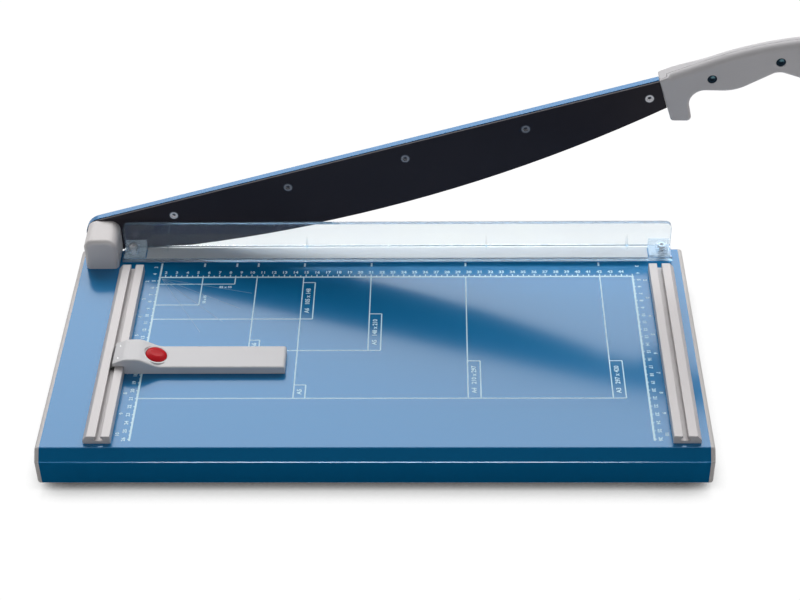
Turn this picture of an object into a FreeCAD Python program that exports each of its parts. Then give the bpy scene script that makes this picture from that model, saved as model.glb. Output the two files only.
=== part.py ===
import FreeCAD, Part
import math
import os
import re

import Sketcher

# Lever paper cutter for A3 sheets: a folded steel table, a curved blade on a hinged beam,
# a clear sprung clamp bar and a sliding back gauge. Millimetres.
# Machine frame of the numbers below: x from the left paper stop, y from the cutting edge
# (positive behind it), z from the table top. Arm frame: x along the beam from the pivot.

os.makedirs("parts", exist_ok=True)
doc = FreeCAD.newDocument("paper_cutter")
sheet = doc.addObject("Spreadsheet::Sheet", "sizes")
reader = doc.addObject("Spreadsheet::Sheet", "reader")

sizes = {
    # Folded table
    "stop_gap": 465.0,
    "side_left": 36.0,
    "side_right": 7.3,
    "table_depth": 270.0,
    "facet": 8.7,
    "sheet_drop": 33.4,
    "sheet_wall": 1.5,
    "sheet_bend": 2.6,
    "lip": 38.0,
    # End caps
    "cap_wall": 4.0,
    "cap_round": 2.8,
    "plug_depth": 5.0,
    "plug_wall": 1.8,
    "plug_gap": 0.3,
    # Feet
    "foot_height": 8.0,
    "foot_radius": 9.0,
    "foot_inset": 20.0,
    "foot_screw": 2.05,
    "foot_recess": 3.6,
    # Back bar and counter blade
    "bar_wall": 16.0,
    "bar_height": 20.0,
    "bar_gap": 1.0,
    "counter_wall": 3.0,
    "counter_height": 21.0,
    "counter_screws": 5,
    "counter_screw": 2.5,
    "counter_screw_drop": 11.0,
    # Guide rails
    "rail_width": 23.0,
    "rail_height": 8.0,
    "rail_back": 36.0,
    "rail_length": 229.0,
    "ridge_width": 7.6,
    "groove_width": 4.2,
    "groove_floor": 3.0,
    "slot_side": 1.5,
    "slot_roof": 5.4,
    "flank_width": 3.5,
    "flank_height": 3.5,
    "rail_round": 1.6,
    "rail_screws": 3,
    "rail_screw": 1.9,
    "rail_screw_inset": 24.0,
    # Pivot
    "pivot_side": 40.0,
    "pivot_height": 15.0,
    "heel_radius": 18.0,
    "shoulder_radius": 6.0,
    "bush_wall": 2.0,
    "run_gap": 0.04,
    "face_gap": 0.1,
    "washer_wall": 1.5,
    "head_height": 6.0,
    "bracket_width": 25.0,
    "bracket_depth": 22.0,
    "bracket_wall": 8.0,
    "bracket_foot": 5.0,
    "bracket_height": 28.5,
    "bracket_round": 11.0,
    "bracket_pitch": 8.0,
    "bracket_screw": 3.0,
    "disc_springs": 2,
    "disc_wall": 1.0,
    "disc_rise": 0.7,
    "nut_height": 7.0,
    "nut_flats": 16.0,
    "bolt_radius": 5.0,
    "bolt_flats": 17.0,
    "disc_bore": 5.3,
    "disc_radius": 9.0,
    "washer_radius": 11.0,
    # Pivot cover
    "cover_width": 30.0,
    "cover_depth": 32.0,
    "cover_height": 31.5,
    "cover_wall": 2.0,
    "cover_round": 9.0,
    "cover_edge": 4.0,
    "cover_side": 25.0,
    "cover_pitch": 9.0,
    "boss_radius": 3.0,
    "cover_screw": 1.25,
    # Arm
    "arm_rest": 16.3,
    "beam_height": 30.0,
    "beam_wall": 7.0,
    "beam_end": 531.5,
    "tang_length": 118.0,
    "tang_height": 15.0,
    "tang_drop": 4.0,
    "tang_step": 2.4,
    "blade_wall": 2.5,
    "blade_step": 0.5,
    "edge_radius": 1259.0,
    "edge_low": 243.6,
    "edge_drop": 44.0,
    "edge_start": 30.0,
    "edge_bevel": 1.8,
    "blade_tip": 0.8,
    "blade_screws": 5,
    "blade_screw_first": 70.0,
    "blade_screw_last": 11.9,
    "blade_screw_radius": 2.5,
    # Handle
    "handle_front": 7.9,
    "handle_rear": 8.6,
    "handle_edge": 3.0,
    "crest_edge": 6.5,
    "bolster_edge": 1.2,
    "seam_groove": 0.5,
    "tab_length": 7.0,
    "tab_depth": 5.1,
    "tab_ledge": 1.3,
    "tab_gap": 0.5,
    "handle_screw_first": 44.5,
    "handle_screw_pitch": 60.1,
    "handle_screw_radius": 2.5,
    "handle_head_radius": 4.2,
    "handle_head_depth": 3.2,
    # Clamp bar
    "guard_lift": 1.6,
    "guard_gap": 0.6,
    "guard_wall": 4.0,
    "guard_height": 30.3,
    "guard_depth": 24.4,
    "guard_foot": 3.5,
    "guard_relief": 1.0,
    "guard_lip": 8.4,
    "guard_side": 22.0,
    "guard_corner": 6.0,
    "gusset_height": 11.5,
    "gusset_depth": 8.0,
    "gusset_wall": 1.4,
    "gusset_inner": 83.6,
    "gusset_outer": 214.2,
    # Clamp ends, their guide posts and springs
    "end_width": 19.3,
    "end_inset": 1.9,
    "end_plate": 2.4,
    "end_back": 9.0,
    "end_block": 10.6,
    "end_roof": 2.0,
    "end_step": 2.4,
    "post_inset": 9.2,
    "post_depth": 13.6,
    "post_radius": 2.0,
    "post_head": 3.6,
    "post_head_height": 2.4,
    "spring_radius": 3.4,
    "spring_wire": 0.8,
    "spring_turns": 3,
    # Back gauge
    "gauge_back": 151.0,
    "gauge_width": 27.8,
    "gauge_length": 139.3,
    "gauge_height": 8.1,
    "gauge_lift": 0.4,
    "gauge_left": 9.6,
    "gauge_end": 11.6,
    "gauge_crest": 16.3,
    "gauge_crest_at": 1.5,
    "gauge_crest_width": 12.0,
    "gauge_foot_at": 29.0,
    "gauge_wall": 2.4,
    "gauge_hollows": 3,
    "hollow_start": 46.0,
    "hollow_rib": 3.0,
    "ridge_gap": 0.3,
    "button_at": 27.2,
    "button_height": 10.4,
    "button_tilt": 15.0,
    "button_radius": 9.3,
    "button_dome": 2.6,
    "button_skirt": 1.4,
    "button_travel": 2.0,
    "button_gap": 0.3,
    "crease_radius": 34.0,
    "crease_depth": 0.75,
    "collar_wall": 1.3,
    "collar_drop": 8.0,
    "brake_width": 7.0,
    "brake_height": 3.4,
    "brake_bar": 1.2,
    "brake_lift": 1.0,
    "brake_length": 29.0,
    "brake_gap": 0.2,
    "brake_room": 8.7,
    "brake_pad": 5.0,
    "wedge_at": 23.0,
    "wedge_run": 0.786,
    "brake_wire": 0.5,
    "brake_coil": 1.3,
    "brake_turns": 3,
    "shoe_flange": 2.0,
    "shoe_screw": 1.25,
    "shoe_screw_at": -4.0,
    "shoe_screw_inset": 6.0,
}

# Corners of the handle's outline: distance from its left end, height above the pivot, and radius.
# A bolster, a crest on top, the end, the pommel, a grip with one swell, and the finger hook
grip_corners = [
    (0.0, 18.3, 1.5), (9.0, 19.6, 60.0), (82.0, 26.4, 300.0), (138.0, 19.2, 30.0), (161.0, 3.0, 14.0),
    (157.0, -24.0, 10.0), (131.0, -24.0, 10.0), (101.0, -2.4, 13.0), (61.0, -11.5, 40.0),
    (20.9, 1.4, 13.0), (18.9, -31.6, 4.0), (1.3, -26.2, 4.0),
]
for corner, numbers in enumerate(grip_corners):
    for letter, number in zip("xzr", numbers):
        sizes["grip_%s_%d" % (letter, corner)] = number

# Lengths that follow from the ones above
derived = {
    "table_left": "-(rail_width + side_left)",
    "table_right": "stop_gap + rail_width + side_right",
    "sheet_back": "-counter_wall",
    "sheet_front": "-(table_depth + facet)",
    "bar_back": "sheet_back - sheet_wall",
    "bar_front": "bar_back - bar_wall",
    "bar_left": "table_left + plug_depth + bar_gap",
    "bar_right": "table_right - plug_depth - bar_gap",
    "guard_left": "-guard_side",
    "guard_right": "stop_gap + rail_width",
    "guard_middle": "(guard_left + guard_right) / 2",
    "pivot_x": "-pivot_side",
    "blade_back": "face_gap + blade_wall",
    "beam_back": "blade_back + beam_wall",
    "bush_radius": "shoulder_radius + run_gap + bush_wall",
    "blade_top": "heel_radius - blade_step",
    "beam_middle": "heel_radius - beam_height / 2",
    "handle_parting": "face_gap + handle_front",
    "handle_back": "handle_parting + handle_rear",
    "handle_left": "beam_end + face_gap",
    "post_left": "guard_left + post_inset",
    "post_right": "guard_right - post_inset",
    "handle_reach": "(handle_left + grip_x_5) * cos(arm_rest * 1 deg) - grip_z_5 * sin(arm_rest * 1 deg)",
    "origin_x": "(table_left - cap_wall + pivot_x + handle_reach) / 2",
    "origin_y": "(sheet_front + handle_back) / 2",
    "table_top": "sheet_drop + foot_height",
}
maths = {"sin", "cos", "tan", "sqrt", "deg", "atan"}


def fill_sheet():
    row = 0
    for name, content in list(sizes.items()) + [(n, "=" + t) for n, t in derived.items()]:
        row += 1
        sheet.set("A%d" % row, name)
        sheet.set("B%d" % row, str(content))
        sheet.setAlias("B%d" % row, name)
    doc.recompute()


# A formula of the sheet's names, as an expression of another object
def bound(text):
    return re.sub(r"[a-z][a-z_0-9]*", lambda word: word[0] if word[0] in maths else "sizes." + word[0], text)


# The number that such a formula gives
def value(text):
    reader.set("A1", "=" + bound(text))
    reader.recompute()
    return float(reader.get("A1"))


fill_sheet()
parts = []


# Every piece stands either in the machine's frame or in the arm's, turned up about the pivot
def place(piece, frame):
    at = ["-origin_x", "-origin_y", "table_top"]
    if frame == "arm":
        at = ["pivot_x - origin_x", "-origin_y", "table_top + pivot_height"]
        piece.Placement = FreeCAD.Placement(FreeCAD.Vector(), FreeCAD.Rotation(FreeCAD.Vector(0, -1, 0), 1))
        piece.setExpression("Placement.Rotation.Angle", bound("arm_rest * 1 deg"))
    for axis, text in zip("xyz", at):
        piece.setExpression("Placement.Base." + axis, bound(text))


def new_body(label, frame="machine"):
    body = doc.addObject("PartDesign::Body", label)
    body.Label = label
    place(body, frame)
    parts.append(body)
    return body


def new_sketch(body, role, start):
    sketch = body.newObject("Sketcher::SketchObject", body.Name + "_sketch")
    plane = [item for item in body.Origin.OriginFeatures if item.Role == role][0]
    sketch.AttachmentSupport = [(plane, "")]
    sketch.MapMode = "FlatFace"
    # the XZ plane faces -y
    sketch.setExpression("AttachmentOffset.Base.z", bound("-(%s)" % start if role == "XZ_Plane" else start))
    return sketch


def pin(sketch, element, end, x, y):
    for kind, text in (("DistanceX", x), ("DistanceY", y)):
        index = sketch.addConstraint(Sketcher.Constraint(kind, -1, 1, element, end, value(text)))
        sketch.setExpression("Constraints[%d]" % index, bound(text))


# A closed outline of lines whose corners are formulas; arcs maps a side to its radius and the
# way it bulges, +1 to the left of its direction
def polygon(body, role, points, start="0", arcs=None):
    sketch = new_sketch(body, role, start)
    arcs = arcs or {}
    corners = [FreeCAD.Vector(value(x), value(y), 0) for x, y in points]
    first = []
    last = []
    for index, here in enumerate(corners):
        there = corners[(index + 1) % len(corners)]
        if index in arcs:
            radius, way = value(arcs[index][0]), arcs[index][1]
            chord = there - here
            rise = radius - math.sqrt(radius ** 2 - chord.Length ** 2 / 4)
            side = FreeCAD.Vector(-chord.y, chord.x, 0).normalize()
            middle = (here + there) / 2 + side * rise * way
            sketch.addGeometry(Part.Arc(here, middle, there), False)
            turned = way > 0
        else:
            sketch.addGeometry(Part.LineSegment(here, there), False)
            turned = False
        first.append(2 if turned else 1)
        last.append(1 if turned else 2)
    for index in range(len(corners)):
        after = (index + 1) % len(corners)
        sketch.addConstraint(Sketcher.Constraint("Coincident", index, last[index], after, first[after]))
    for index, (x, y) in enumerate(points):
        pin(sketch, index, first[index], x, y)
    for index, (radius, way) in arcs.items():
        number = sketch.addConstraint(Sketcher.Constraint("Radius", index, value(radius)))
        sketch.setExpression("Constraints[%d]" % number, bound(radius))
    return sketch


# A closed outline whose corners are rounded: each corner is x, y and a radius. Its lines and arcs
# touch smoothly, and the sharp corners are kept as points that the formulas drive. A sketch
# counts each arc's ends the other way round where it runs clockwise
def rounded_outline(body, role, corners, start="0"):
    sketch = new_sketch(body, role, start)
    sharp = [FreeCAD.Vector(value(x), value(y), 0) for x, y, radius in corners]
    count = len(sharp)
    ends = []
    for index, (x, y, radius) in enumerate(corners):
        here = sharp[index]
        back = (sharp[index - 1] - here).normalize()
        ahead = (sharp[(index + 1) % count] - here).normalize()
        half = back.getAngle(ahead) / 2
        reach = value(radius) / math.tan(half)
        centre = here + (back + ahead).normalize() * (value(radius) / math.sin(half))
        middle = centre + (here - centre).normalize() * value(radius)
        ends.append((here + back * reach, middle, here + ahead * reach))
    for index in range(count):
        after = (index + 1) % count
        sketch.addGeometry(Part.LineSegment(ends[index][2], ends[after][0]), False)
        sketch.addGeometry(Part.Arc(*ends[after]), False)
    for index in range(count):
        after = (index + 1) % count
        line, arc, line_after = 2 * index, 2 * index + 1, 2 * after
        start, middle, end = ends[after]
        turned = (end - start).cross(middle - start).z > 0
        sketch.addConstraint(Sketcher.Constraint("Tangent", line, 2, arc, 2 if turned else 1))
        sketch.addConstraint(Sketcher.Constraint("Tangent", line_after, 1, arc, 1 if turned else 2))
        number = sketch.addConstraint(Sketcher.Constraint("Radius", arc, value(corners[after][2])))
        sketch.setExpression("Constraints[%d]" % number, bound(corners[after][2]))
        point = sketch.addGeometry(Part.Point(sharp[after]), True)
        pin(sketch, point, 1, corners[after][0], corners[after][1])
        sketch.addConstraint(Sketcher.Constraint("PointOnObject", point, 1, line))
        sketch.addConstraint(Sketcher.Constraint("PointOnObject", point, 1, line_after))
    return sketch


def circles(body, role, holes, start="0"):
    sketch = new_sketch(body, role, start)
    for index, (x, y, radius) in enumerate(holes):
        centre = FreeCAD.Vector(value(x), value(y), 0)
        sketch.addGeometry(Part.Circle(centre, FreeCAD.Vector(0, 0, 1), value(radius)), False)
        pin(sketch, index, 3, x, y)
        number = sketch.addConstraint(Sketcher.Constraint("Radius", index, value(radius)))
        sketch.setExpression("Constraints[%d]" % number, bound(radius))
    return sketch


# Adds the outline's prism: towards +x, -y or +z from its sketch, as its plane faces
def pad(body, sketch, length):
    feature = body.newObject("PartDesign::Pad", body.Name + "_pad")
    feature.Profile = sketch
    feature.setExpression("Length", bound(length))
    body.Tip = feature
    doc.recompute()
    if feature.Shape.isNull():
        raise ValueError("no solid from the sketch of " + body.Label)
    return feature


# Cuts the same prism away, and checks that it did
def pocket(body, sketch, length):
    before = body.Tip.Shape.Volume
    feature = body.newObject("PartDesign::Pocket", body.Name + "_pocket")
    feature.Profile = sketch
    feature.Reversed = True
    feature.setExpression("Length", bound(length))
    body.Tip = feature
    doc.recompute()
    if feature.Shape.Volume >= before:
        raise ValueError("a pocket cuts nothing in " + body.Label)
    return feature


def dress(body, kind, names, size):
    if not names:
        raise ValueError("no edges to dress in " + body.Label)
    base = body.Tip
    feature = body.newObject("PartDesign::" + kind, body.Name + "_edge")
    feature.Base = (base, names)
    feature.setExpression("Radius" if kind == "Fillet" else "Size", bound(size))
    body.Tip = feature
    doc.recompute()
    if feature.Shape.isNull():
        raise ValueError("%s %s fails in %s" % (kind, size, body.Label))
    return feature


# Names of the straight edges along an axis that pass through the given places of the other two axes
def edges_along(body, axis, places):
    others = [index for index in range(3) if index != "xyz".index(axis)]
    wanted = [(value(a), value(b)) for a, b in places]
    names = []
    for number, edge in enumerate(body.Tip.Shape.Edges, start=1):
        ends = [vertex.Point for vertex in edge.Vertexes]
        if len(ends) != 2 or edge.Curve.TypeId != "Part::GeomLine":
            continue
        if abs(ends[0][others[0]] - ends[1][others[0]]) + abs(ends[0][others[1]] - ends[1][others[1]]) > 1e-4:
            continue
        for a, b in wanted:
            if abs(ends[0][others[0]] - a) < 0.01 and abs(ends[0][others[1]] - b) < 0.01:
                names.append("Edge%d" % number)
    return names


# Names of the edges that lie in the plane where an axis has a value, if keep accepts them
def edges_in(body, axis, text, keep=None):
    level = value(text)
    index = "xyz".index(axis)
    names = []
    for number, edge in enumerate(body.Tip.Shape.Edges, start=1):
        spots = [edge.valueAt(edge.FirstParameter + share * (edge.LastParameter - edge.FirstParameter))
                 for share in (0.0, 0.5, 1.0)]
        if all(abs(spot[index] - level) < 1e-3 for spot in spots) and (keep is None or keep(edge, spots[1])):
            names.append("Edge%d" % number)
    return names


# A turned shape: its profile is a list of (radius, distance along the axis)
def turned_shape(profile, base, axis):
    points = [FreeCAD.Vector(value(r), 0, value(h)) for r, h in profile]
    face = Part.Face(Part.makePolygon(points + points[:1]))
    solid = face.revolve(FreeCAD.Vector(), FreeCAD.Vector(0, 0, 1), 360)
    turn_to = FreeCAD.Rotation(FreeCAD.Vector(0, 0, 1), FreeCAD.Vector(*axis))
    solid.Placement = FreeCAD.Placement(FreeCAD.Vector(*[value(text) for text in base]), turn_to)
    return solid


# A prism with six flats along z, from one height to another, laid on a base and an axis
def hex_shape(flats, low, high, base, axis):
    radius = value(flats) / math.sqrt(3)
    turns = [math.radians(60 * k) for k in range(6)]
    points = [FreeCAD.Vector(radius * math.cos(turn), radius * math.sin(turn), value(low)) for turn in turns]
    face = Part.Face(Part.makePolygon(points + points[:1]))
    solid = face.extrude(FreeCAD.Vector(0, 0, value(high) - value(low)))
    turn_to = FreeCAD.Rotation(FreeCAD.Vector(0, 0, 1), FreeCAD.Vector(*axis))
    solid.Placement = FreeCAD.Placement(FreeCAD.Vector(*[value(text) for text in base]), turn_to)
    return solid


# One node of separate solids whose shapes are set from the sheet's sizes
def add_shape(label, solids, frame="machine"):
    feature = doc.addObject("Part::Feature", label)
    feature.Label = label
    feature.Shape = Part.Compound(solids)
    place(feature, frame)
    parts.append(feature)
    return feature


# A screw with its seat at the base and its shank along the axis. Its head is flat (countersunk) or
# cap, with a hexagon socket, or pan, on the hidden ones
def screw(style, radius, head, depth, length, base, axis):
    if style == "flat":
        top, floor = "0", "(%s) - (%s) - 0.4" % (head, radius)
        profile = [("0", "0"), (head, "0"), (radius, "(%s) - (%s)" % (head, radius))]
    else:
        top, floor = "-(%s)" % depth, "-(%s) * 0.4" % depth
        profile = [("0", top), (head, top), (head, "0"), (radius, "0")]
    solid = turned_shape(profile + [(radius, length), ("0", length)], base, axis)
    if style == "pan":
        return solid
    return solid.cut(hex_shape("(%s) * 0.9" % head, top + " - 1", floor, base, axis))


# Places of things spread evenly from one end to the other
def spread(count, low, high):
    last = int(value(count)) - 1
    return ["(%s) + ((%s) - (%s)) * %d / (%s - 1)" % (low, high, low, index, count)
            for index in range(last + 1)]


bend = "0.41421"  # tangent of half of the facet's turn


# The folded sheet's outline, moved inwards by an amount
def table_outline(inset):
    return [
        ("sheet_back - (%s)" % inset, "-(%s)" % inset),
        ("-table_depth + %s * (%s)" % (bend, inset), "-(%s)" % inset),
        ("sheet_front + (%s)" % inset, "-facet - %s * (%s)" % (bend, inset)),
        ("sheet_front + (%s)" % inset, "-sheet_drop + (%s)" % inset),
        ("sheet_back - (%s)" % inset, "-sheet_drop + (%s)" % inset),
    ]


rail_screw_places = []
for side, centre in (("left", "-rail_width + (rail_width - ridge_width - groove_width) / 2"),
                     ("right", "stop_gap + rail_width - (rail_width - ridge_width - groove_width) / 2")):
    for place_y in spread("rail_screws", "-rail_back - rail_screw_inset",
                          "-rail_back - rail_length + rail_screw_inset"):
        rail_screw_places.append((centre, place_y))
bracket_places = [("pivot_x - bracket_pitch", "bar_back - bar_wall / 2"),
                  ("pivot_x + bracket_pitch", "bar_back - bar_wall / 2")]
post_places = [("post_left", "-post_depth"), ("post_right", "-post_depth")]
cover_left = "-cover_side - cover_width"
cover_places = [(x, "-cover_depth + cover_wall + boss_radius * 0.8")
                for x in ("pivot_x - cover_pitch", "pivot_x + cover_pitch")]
foot_places = [(x, y) for x in ("table_left + foot_inset", "table_right - foot_inset")
               for y in ("sheet_back - lip / 2", "sheet_front + lip / 2")]
counter_places = spread("counter_screws", "guard_left + 20", "guard_right - 20")


# Table: one folded steel sheet with a facet along the front and lips turned in below
def make_table_shell():
    body = new_body("table_shell")
    outer = table_outline("0")
    inner = table_outline("sheet_wall")
    outline = outer[:4]
    outline += [("sheet_front + lip", "-sheet_drop"), ("sheet_front + lip", "-sheet_drop + sheet_wall")]
    outline += [inner[3], inner[2], inner[1], inner[0], inner[4]]
    outline += [("sheet_back - lip", "-sheet_drop + sheet_wall"), ("sheet_back - lip", "-sheet_drop")]
    outline += [outer[4]]
    pad(body, polygon(body, "YZ_Plane", outline, "table_left"), "table_right - table_left")
    dress(body, "Fillet", edges_along(body, "x", outer), "sheet_bend")
    dress(body, "Fillet", edges_along(body, "x", inner), "sheet_bend - sheet_wall")
    top = [(x, y, "rail_screw + 0.2") for x, y in rail_screw_places]
    top += [(x, y, "bracket_screw + 0.1") for x, y in bracket_places]
    top += [(x, y, "post_radius + 0.1") for x, y in post_places]
    top += [(x, y, "cover_screw + 0.35") for x, y in cover_places]
    pocket(body, circles(body, "XY_Plane", top, "-sheet_wall - 0.5"), "sheet_wall + 1")
    low = [(x, y, "foot_screw + 0.05") for x, y in foot_places]
    pocket(body, circles(body, "XY_Plane", low, "-sheet_drop - 0.5"), "sheet_wall + 1")
    back = [(x, "-counter_screw_drop", "counter_screw + 0.1") for x in counter_places]
    pocket(body, circles(body, "XZ_Plane", back, "sheet_back + 0.5"), "sheet_wall + 1")


# End caps: a crowned plate over the folded end, with a hollow plug that goes into it
def make_end_cap(side):
    body = new_body("end_cap_" + side)
    left = side == "left"
    plate = "table_left - cap_wall" if left else "table_right"
    plug = "table_left" if left else "table_right - plug_depth"
    outline = table_outline("0")
    pad(body, polygon(body, "YZ_Plane", outline, plate), "cap_wall")
    dress(body, "Fillet", edges_along(body, "x", outline), "sheet_bend")
    outer_face = plate if left else "table_right + cap_wall"
    dress(body, "Fillet", edges_in(body, "x", outer_face), "cap_round")
    pad(body, polygon(body, "YZ_Plane", table_outline("sheet_wall + plug_gap"), plug), "plug_depth")
    hollow = table_outline("sheet_wall + plug_gap + plug_wall")
    pocket(body, polygon(body, "YZ_Plane", hollow, plug), "plug_depth")


# Bar under the back edge, which stiffens the sheet and takes the counter blade and the pivot bracket
def make_back_bar():
    body = new_body("back_bar")
    box = [("bar_back", "-sheet_wall"), ("bar_front", "-sheet_wall"),
           ("bar_front", "-sheet_wall - bar_height"), ("bar_back", "-sheet_wall - bar_height")]
    pad(body, polygon(body, "YZ_Plane", box, "bar_left"), "bar_right - bar_left")
    dress(body, "Fillet", edges_along(body, "x", [box[0]]), "sheet_bend - sheet_wall + 0.4")
    screws = [(x, "-counter_screw_drop", "counter_screw + 0.05") for x in counter_places]
    pocket(body, circles(body, "XZ_Plane", screws, "bar_back + 0.5"), "bar_wall * 0.75")
    through = [(x, y, "bracket_screw + 0.1") for x, y in bracket_places]
    through += [(x, y, "post_radius + 0.05") for x, y in post_places]
    pocket(body, circles(body, "XY_Plane", through, "-sheet_wall - bar_height - 0.5"), "bar_height + 1")


# Counter blade: a ground strip whose top back edge is the lower cutting edge
def make_counter_blade():
    body = new_body("counter_blade")
    box = [("0", "0"), ("-counter_wall", "0"), ("-counter_wall", "-counter_height"), ("0", "-counter_height")]
    pad(body, polygon(body, "YZ_Plane", box, "guard_left"), "guard_right - guard_left")
    screws = [(x, "-counter_screw_drop", "counter_screw + 0.1") for x in counter_places]
    pocket(body, circles(body, "XZ_Plane", screws, "0.5"), "counter_wall + 1")
    dress(body, "Chamfer", edges_in(body, "y", "0", lambda edge, middle: edge.Closed), "2.3")


def make_counter_screws():
    reach = "counter_wall + sheet_wall + bar_wall * 0.6"
    solids = [screw("flat", "counter_screw", "counter_screw + 2.2", "0", reach,
                    (x, "-0.1", "-counter_screw_drop"), (0, -1, 0)) for x in counter_places]
    add_shape("counter_blade_screws", solids)


# Aluminium guide rails: two ridges with an undercut groove between, square to the cutting edge
def make_guide_rail(side):
    body = new_body("guide_rail_" + side)
    mirror = "%s" if side == "left" else "stop_gap - (%s)"
    ridge = "-ridge_width"
    far = "-ridge_width - groove_width"
    section = [("0", "0"), ("0", "rail_height"), (ridge, "rail_height"), (ridge, "slot_roof"),
               (ridge + " + slot_side", "slot_roof"), (ridge + " + slot_side", "groove_floor"),
               (far + " - slot_side", "groove_floor"), (far + " - slot_side", "slot_roof"),
               (far, "slot_roof"), (far, "rail_height"), ("-rail_width + flank_width", "rail_height"),
               ("-rail_width", "flank_height"), ("-rail_width", "0")]
    section = [(mirror % x, z) for x, z in section]
    pad(body, polygon(body, "XZ_Plane", section, "-rail_back"), "rail_length")
    dress(body, "Fillet", edges_along(body, "y", [section[10]]), "rail_round")
    corners = [section[1], section[2], section[9], section[11]]
    dress(body, "Fillet", edges_along(body, "y", corners), "0.7")
    screws = [(x, y, "rail_screw + 0.05") for x, y in rail_screw_places if (side == "left") == (value(x) < 0)]
    pocket(body, circles(body, "XY_Plane", screws, "-0.5"), "6")


def make_rail_screws():
    solids = [screw("pan", "rail_screw", "rail_screw * 1.9", "2.2", "sheet_wall + 4.5", (x, y, "-sheet_wall"),
                    (0, 0, 1))
              for x, y in rail_screw_places]
    add_shape("rail_screws", solids)


# Pivot bracket: an angle that stands on the table and holds the shoulder bolt
def make_pivot_bracket():
    body = new_body("pivot_bracket")
    angle = [("0", "0"), ("-bracket_depth", "0"), ("-bracket_depth", "bracket_foot"),
             ("-bracket_wall", "bracket_foot"), ("-bracket_wall", "bracket_height"), ("0", "bracket_height")]
    pad(body, polygon(body, "YZ_Plane", angle, "pivot_x - bracket_width / 2"), "bracket_width")
    corners = [("pivot_x - bracket_width / 2", "bracket_height"),
               ("pivot_x + bracket_width / 2", "bracket_height")]
    dress(body, "Fillet", edges_along(body, "y", corners), "bracket_round")
    dress(body, "Fillet", edges_along(body, "x", [angle[3]]), "0.9")
    pocket(body, circles(body, "XZ_Plane", [("pivot_x", "pivot_height", "shoulder_radius + run_gap")], "0.5"),
           "bracket_wall + 1")
    taps = [(x, y, "bracket_screw + 0.05") for x, y in bracket_places]
    pocket(body, circles(body, "XY_Plane", taps, "-0.5"), "bracket_foot + 1")


def make_bracket_screws():
    reach = "bar_height + sheet_wall + bracket_foot - 0.5"
    solids = [screw("cap", "bracket_screw", "bracket_screw + 1.6", "4", reach,
                    (x, y, "-sheet_wall - bar_height"), (0, 0, 1)) for x, y in bracket_places]
    add_shape("bracket_screws", solids)


# Pivot cover: a moulded cap over the bracket, open below and behind
def make_pivot_cover():
    body = new_body("pivot_cover")
    right = "-cover_side"
    box = [(cover_left, "0"), (cover_left, "cover_height"), (right, "cover_height"), (right, "0")]
    pad(body, polygon(body, "XZ_Plane", box, "-face_gap"), "cover_depth - face_gap")
    dress(body, "Fillet", edges_along(body, "y", [box[1], box[2]]), "cover_round")
    rim = edges_in(body, "y", "-cover_depth", lambda edge, middle: middle.z > 0.1)
    dress(body, "Fillet", rim, "cover_edge")
    roof = "cover_height - cover_wall"
    inner = [(cover_left + " + cover_wall", "-0.5"), (cover_left + " + cover_wall", roof),
             (right + " - cover_wall", roof), (right + " - cover_wall", "-0.5")]
    pocket(body, polygon(body, "XZ_Plane", chamfered(inner, "cover_round - cover_wall"), "0.5"),
           "cover_depth - cover_wall + 0.5")
    bosses = [(x, y, "boss_radius") for x, y in cover_places]
    pad(body, circles(body, "XY_Plane", bosses), "cover_height / 2")
    taps = [(x, y, "cover_screw + 0.05") for x, y in cover_places]
    pocket(body, circles(body, "XY_Plane", taps, "-0.5"), "9")


# The two upper corners of a box outline cut off at 45 degrees by an amount
def chamfered(box, amount):
    (xa, low), (xb, top), (xc, top_again), (xd, low_again) = box
    short = "(%s) * 0.7" % amount
    return [box[0], (xb, "%s - %s" % (top, short)), ("%s + %s" % (xb, short), top),
            ("%s - %s" % (xc, short), top), (xc, "%s - %s" % (top, short)), box[3]]


def make_cover_screws():
    solids = [screw("pan", "cover_screw", "cover_screw * 2", "1.8", "sheet_wall + 7",
                    (x, y, "-sheet_wall"), (0, 0, 1)) for x, y in cover_places]
    add_shape("cover_screws", solids)


# Pivot: a shoulder bolt from behind, a thrust washer, disc springs that give the arm its
# friction, and a lock nut in front of the bracket
def make_pivot_bolt():
    seat = "beam_back + face_gap + washer_wall"
    tail = "(%s) + bracket_wall + disc_springs * (disc_wall + disc_rise) + nut_height + 1.5" % seat
    base = ("pivot_x", seat, "pivot_height")
    reach = "(%s) + bracket_wall - 0.3" % seat
    profile = [("0", "0"), ("shoulder_radius", "0"), ("shoulder_radius", reach), ("bolt_radius", reach),
               ("bolt_radius", tail), ("0", tail)]
    solid = turned_shape(profile, base, (0, -1, 0))
    head = hex_shape("bolt_flats", "-head_height", "0", base, (0, -1, 0))
    add_shape("pivot_bolt", [head.fuse(solid).removeSplitter()])


def make_thrust_washer():
    bore = "shoulder_radius + 0.1"
    profile = [(bore, "0"), ("washer_radius", "0"), ("washer_radius", "washer_wall"), (bore, "washer_wall")]
    base = ("pivot_x", "beam_back + face_gap", "pivot_height")
    add_shape("thrust_washer", [turned_shape(profile, base, (0, 1, 0))])


def make_disc_springs():
    solids = []
    for index in range(int(value("disc_springs"))):
        way = 1 if index % 2 == 0 else -1
        start = "-bracket_wall - 0.05 - %d * (disc_wall + disc_rise)" % (index + (0 if way == 1 else 1))
        profile = [("disc_bore", "disc_rise"), ("disc_radius", "0"), ("disc_radius", "disc_wall"),
                   ("disc_bore", "disc_wall + disc_rise")]
        solids.append(turned_shape(profile, ("pivot_x", start, "pivot_height"), (0, -way, 0)))
    add_shape("disc_springs", solids)


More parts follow.
